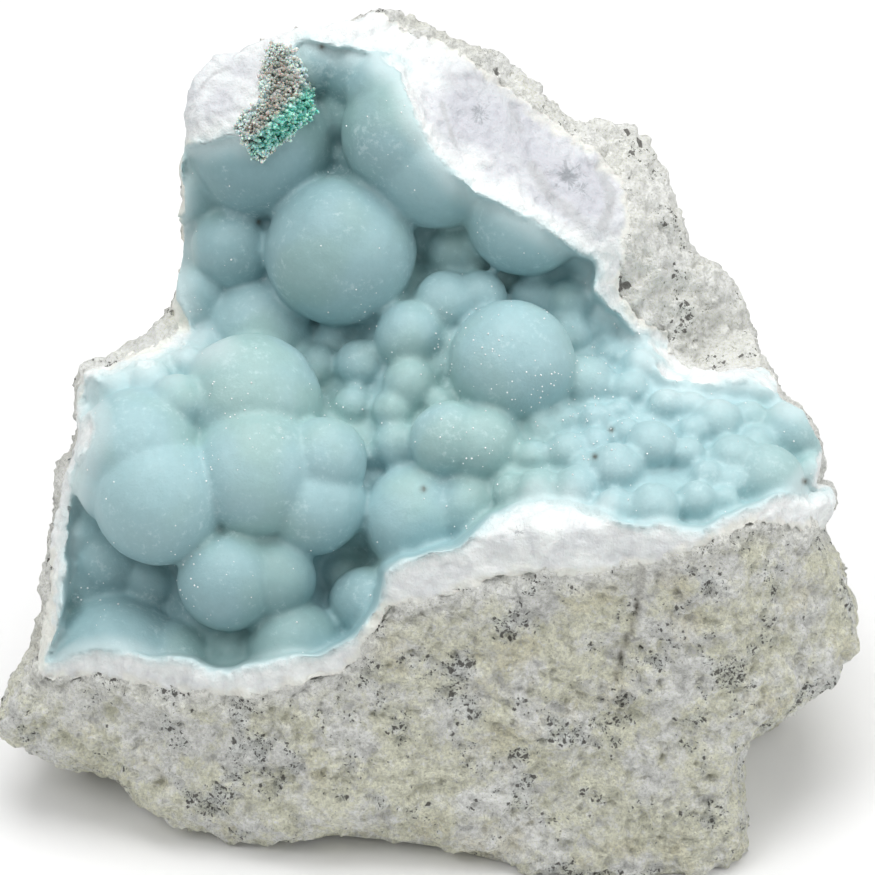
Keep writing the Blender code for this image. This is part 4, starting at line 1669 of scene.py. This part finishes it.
    def mark_fans(self, crust: Object, spots: Points) -> None:
        """Notes how far and which way each place lies from the nearest centre of a fibre fan.

        Args:
            crust: The crust.
            spots: ACROSS, UP and OUT of its vertices.
        """
        centres = np.array(self.fans)
        offset = spots[:, None, :2] - centres[None, :, :2]
        apart = np.linalg.norm(offset, axis=2) / centres[None, :, 2]
        nearest = apart.argmin(axis=1)
        rows = np.arange(len(spots))
        reach = apart[rows, nearest]
        way = offset[rows, nearest] / (reach * centres[nearest, 2] + 0.05)[:, None]
        way = way + ripple(flattened(spots), 2.6, 3, 0.9)[:, None] * 0.22
        way = np.column_stack([way, nearest * 2.9])
        note(crust, fan_way=way, fan_reach=np.clip(reach, 0.0, 3.0))


@dataclass
class SparklingGrains:
    """Tiny white crystals scattered on the balls."""

    count: int = 420
    smallest: float = 0.06
    largest: float = 0.15
    seed: int = 11
    clusters: tuple[Stroke, ...] = tuple(
        Stroke.spot(*cluster)
        for cluster in (
            (4.5, 14.0, 4.0), (0.5, 10.8, 2.5), (10.0, 8.0, 5.0), (4.5, -1.7, 3.0),
            (-12.0, 4.4, 2.5), (-25.0, 3.5, 4.0), (-29.6, -18.0, 4.0), (-31.0, -3.2, 3.0),
            (-45.0, -20.8, 3.0), (4.0, -12.0, 3.0), (-9.0, 17.0, 3.0), (0.0, 42.0, 5.0),
            (20.0, 4.0, 8.0),
        )
    )
    elsewhere: float = 0.05
    most_broken: float = 0.1
    least_facing: float = 0.15
    lift: float = 0.25
    finish: GrainFinish = GrainFinish()

    def build(self, crust: Object) -> Object:
        """Scatters the grains over the unbroken face of the crust.

        Args:
            crust: The finished crust.

        Returns:
            All the grains as one piece.
        """
        places, normals = corners_of(crust)
        spots = FACE.read(places)
        broken = np.empty(len(places), np.float32)
        crust.data.attributes["broken"].data.foreach_get("value", broken)
        facing = normals @ np.array(FACE.outward)
        liking = np.full(len(places), self.elsewhere)
        for cluster in self.clusters:
            liking += cluster.share(spots)
        liking *= (broken < self.most_broken) & (facing > self.least_facing)
        chosen = random.Random(self.seed)
        rows = chosen.choices(range(len(places)), weights=liking.tolist(), k=self.count)
        mesh = bmesh.new()
        for row in rows:
            size = chosen.uniform(self.smallest, self.largest)
            turn = Euler([chosen.uniform(0.0, math.pi) for _ in range(3)]).to_matrix()
            spot = Vector(places[row]) + Vector(normals[row]) * size * self.lift * MM
            bmesh.ops.create_icosphere(
                mesh,
                subdivisions=1,
                radius=size * MM,
                matrix=Matrix.Translation(spot) @ turn.to_4x4(),
            )
        grains = as_object("sparkling_grains", mesh)
        dress(grains, self.finish.make(), "aragonite_crust", smooth=False)
        return grains


@dataclass
class GreenDruse:
    """The patch of small crystals at the top left, green along its lower right edge."""

    patch: Outline = Outline(
        (
            (-21.5, 51.4), (-18.8, 50.4), (-17.0, 47.6), (-16.3, 44.5), (-16.4, 42.4),
            (-17.8, 40.6), (-19.6, 39.0), (-21.2, 37.6), (-22.8, 36.0), (-24.4, 36.4),
            (-25.0, 38.0), (-26.4, 40.5), (-25.0, 42.4), (-22.8, 44.2), (-23.2, 47.0),
            (-22.4, 49.6),
        )
    )
    count: int = 1500
    seed: int = 5
    across_range: tuple[float, float] = (-27.0, -16.0)
    up_range: tuple[float, float] = (35.5, 52.0)
    lengths: tuple[float, float] = (0.9, 1.7)
    green_lengths: tuple[float, float] = (0.2, 1.4)
    widths: tuple[float, float] = (0.12, 0.34)
    tips: tuple[float, float] = (0.6, 1.1)
    spread: float = 0.45
    taper: float = 0.8
    sunk: float = 0.6
    finish: DruseFinish = DruseFinish()

    def build(self, crust: Object) -> Object:
        """Grows the crystals on the crust and dresses them.

        Args:
            crust: The finished crust, which they stand on.

        Returns:
            All the crystals as one piece.
        """
        chosen = random.Random(self.seed)
        ground = BVHTree.FromObject(crust, bpy.context.evaluated_depsgraph_get())
        mesh = bmesh.new()
        placed = 0
        while placed < self.count:
            across, up = chosen.uniform(*self.across_range), chosen.uniform(*self.up_range)
            inside = float(self.patch.inside(np.array([[across, up]]))[0])
            if inside > 0.0:
                self.crystal(mesh, chosen, ground, across, up)
                placed += 1
        druse = as_object("druse_crystals", mesh)
        spots = FACE.read(corners_of(druse)[0])
        green = self.greenness(spots[:, 0], spots[:, 1])
        note(druse, green=green, inner=self.patch.inside(spots))
        dress(druse, self.finish.make(), "green_druse", smooth=False)
        return druse

    def greenness(self, across: Points | float, up: Points | float) -> Points:
        """How green the patch is.

        Args:
            across: Where on the face.
            up: Where on the face.

        Returns:
            From 0 to 1, most along the patch's lower right edge.
        """
        along = np.clip((across + 26.0) / 9.0, 0.0, 1.0)
        middle = 35.8 + 7.2 * along
        return np.exp(-(((up - middle) / 2.7) ** 2)) * (0.35 + 0.65 * along)

    def crystal(
        self, mesh: Mesh, chosen: random.Random, ground: BVHTree, across: float, up: float
    ) -> None:
        """One pointed six-sided crystal.

        Args:
            mesh: What it is added to.
            chosen: Where its chances come from.
            ground: The surface it stands on.
            across: Where its foot lies.
            up: Where its foot lies.
        """
        high, low = FACE.place(across, up, FAR_OUT / 2.0), FACE.place(across, up, FAR_IN)
        foot, normal, _, _ = ground.ray_cast(high, low - high)
        green = float(self.greenness(across, up))
        length = chosen.uniform(*self.lengths) + green * chosen.uniform(*self.green_lengths)
        width = chosen.uniform(*self.widths)
        lean = Vector((chosen.gauss(0.0, self.spread), chosen.gauss(0.0, self.spread), 1.0))
        lean += Vector((0.5, -0.45, 0.0)) * green
        axis = FACE.right * lean.x + FACE.upslope * lean.y + FACE.outward * lean.z
        axis = (axis + normal * 0.6).normalized()
        turn = axis.to_track_quat("Z", "Y").to_matrix().to_4x4()
        spin = Matrix.Rotation(chosen.uniform(0.0, math.pi), 4, "Z")
        middle = foot + axis * (0.5 * length - self.sunk) * MM
        made = bmesh.ops.create_cone(
            mesh,
            cap_ends=True,
            segments=6,
            radius1=width * MM,
            radius2=width * self.taper * MM,
            depth=length * MM,
            matrix=Matrix.Translation(middle) @ turn @ spin,
        )["verts"]
        top = [vert for vert in made if (vert.co - middle).dot(axis) > 0.0]
        cap = {face for vert in top for face in vert.link_faces if all(v in top for v in face.verts)}
        for vert in bmesh.ops.poke(mesh, faces=list(cap))["verts"]:
            vert.co += axis * width * chosen.uniform(*self.tips) * MM


@dataclass(frozen=True)
class Lamp:
    """A soft square light that looks at the specimen."""

    name: str
    place: Triple
    size: float
    power: float
    aim_height: float = 0.045

    def hang(self) -> None:
        """Puts the light up; its place and size are metres, its power watts."""
        data = bpy.data.lights.new(self.name, "AREA")
        data.energy = self.power
        data.size = self.size
        lamp = bpy.data.objects.new(self.name, data)
        bpy.context.scene.collection.objects.link(lamp)
        lamp.location = self.place
        aim = Vector(self.place) - Vector((0.0, 0.0, self.aim_height))
        lamp.rotation_euler = aim.to_track_quat("Z", "Y").to_euler()


@dataclass
class Studio:
    """A pale floor, soft lights and the camera that looks square at the face."""

    lens: float = 135.0
    floor_reach: float = 3.0
    floor_colour: Colour = (0.90, 0.90, 0.90)
    floor_drop: float = 0.0002
    sky: float = 0.35
    lamps: tuple[Lamp, ...] = (
        Lamp("top", (0.0, 0.10, 0.75), 0.6, 4.3),
        Lamp("key", (-0.45, -0.35, 0.75), 0.4, 2.0),
        Lamp("right", (0.60, -0.20, 0.42), 0.4, 1.6),
    )

    def build(self) -> None:
        """Sets everything up."""
        self.floor()
        for lamp in self.lamps:
            lamp.hang()
        self.surroundings()
        self.camera()

    def floor(self) -> None:
        """A wide, plain floor."""
        mesh = bmesh.new()
        bmesh.ops.create_grid(mesh, x_segments=1, y_segments=1, size=self.floor_reach)
        floor = as_object("floor", mesh)
        floor.data.transform(Matrix.Translation((0.0, 0.0, -self.floor_drop)))
        paint = Paint("floor")
        paint.set(Base_Color=self.floor_colour, Roughness=0.9)
        floor.data.materials.append(paint.material)

    def surroundings(self) -> None:
        """Even white light from all round."""
        world = bpy.data.worlds.new("surroundings")
        world.use_nodes = True
        sky = world.node_tree.nodes["Background"]
        sky.inputs["Color"].default_value = (1.0, 1.0, 1.0, 1.0)
        sky.inputs["Strength"].default_value = self.sky
        bpy.context.scene.world = world
        bpy.context.scene.view_settings.view_transform = "Standard"

    def camera(self) -> None:
        """The camera, square to the leaning face at the distance it is read from."""
        data = bpy.data.cameras.new("camera")
        data.lens = self.lens
        data.sensor_width = 36.0
        data.clip_start = 0.01
        eye = bpy.data.objects.new("camera", data)
        bpy.context.scene.collection.objects.link(eye)
        eye.location = (FACE.centre + FACE.outward * FACE.reading_distance) * MM
        eye.rotation_euler = FACE.outward.to_track_quat("Z", "Y").to_euler()
        bpy.context.scene.camera = eye


def main() -> None:
    """Builds the specimen and its studio."""
    logging.basicConfig(level=logging.INFO, format="%(message)s")
    opening = HeightMap.drawn(SHAPE.open_front)
    lining = HeightMap.drawn(SHAPE.lining)
    pocket = HeightMap.drawn(lambda points: SHAPE.pocket(points, lining))
    LOG.info("heights drawn")
    stone = Quarry().stone(opening)
    hollow = SheetCutter().block("hollow", pocket, FAR_OUT)
    LOG.info("stone broken out")
    crust = AragoniteCrust().build(stone, hollow, opening, lining)
    HostRock().build(stone, hollow, pocket)
    SparklingGrains().build(crust)
    GreenDruse().build(crust)
    Studio().build()


if __name__ == "__main__":
    main()
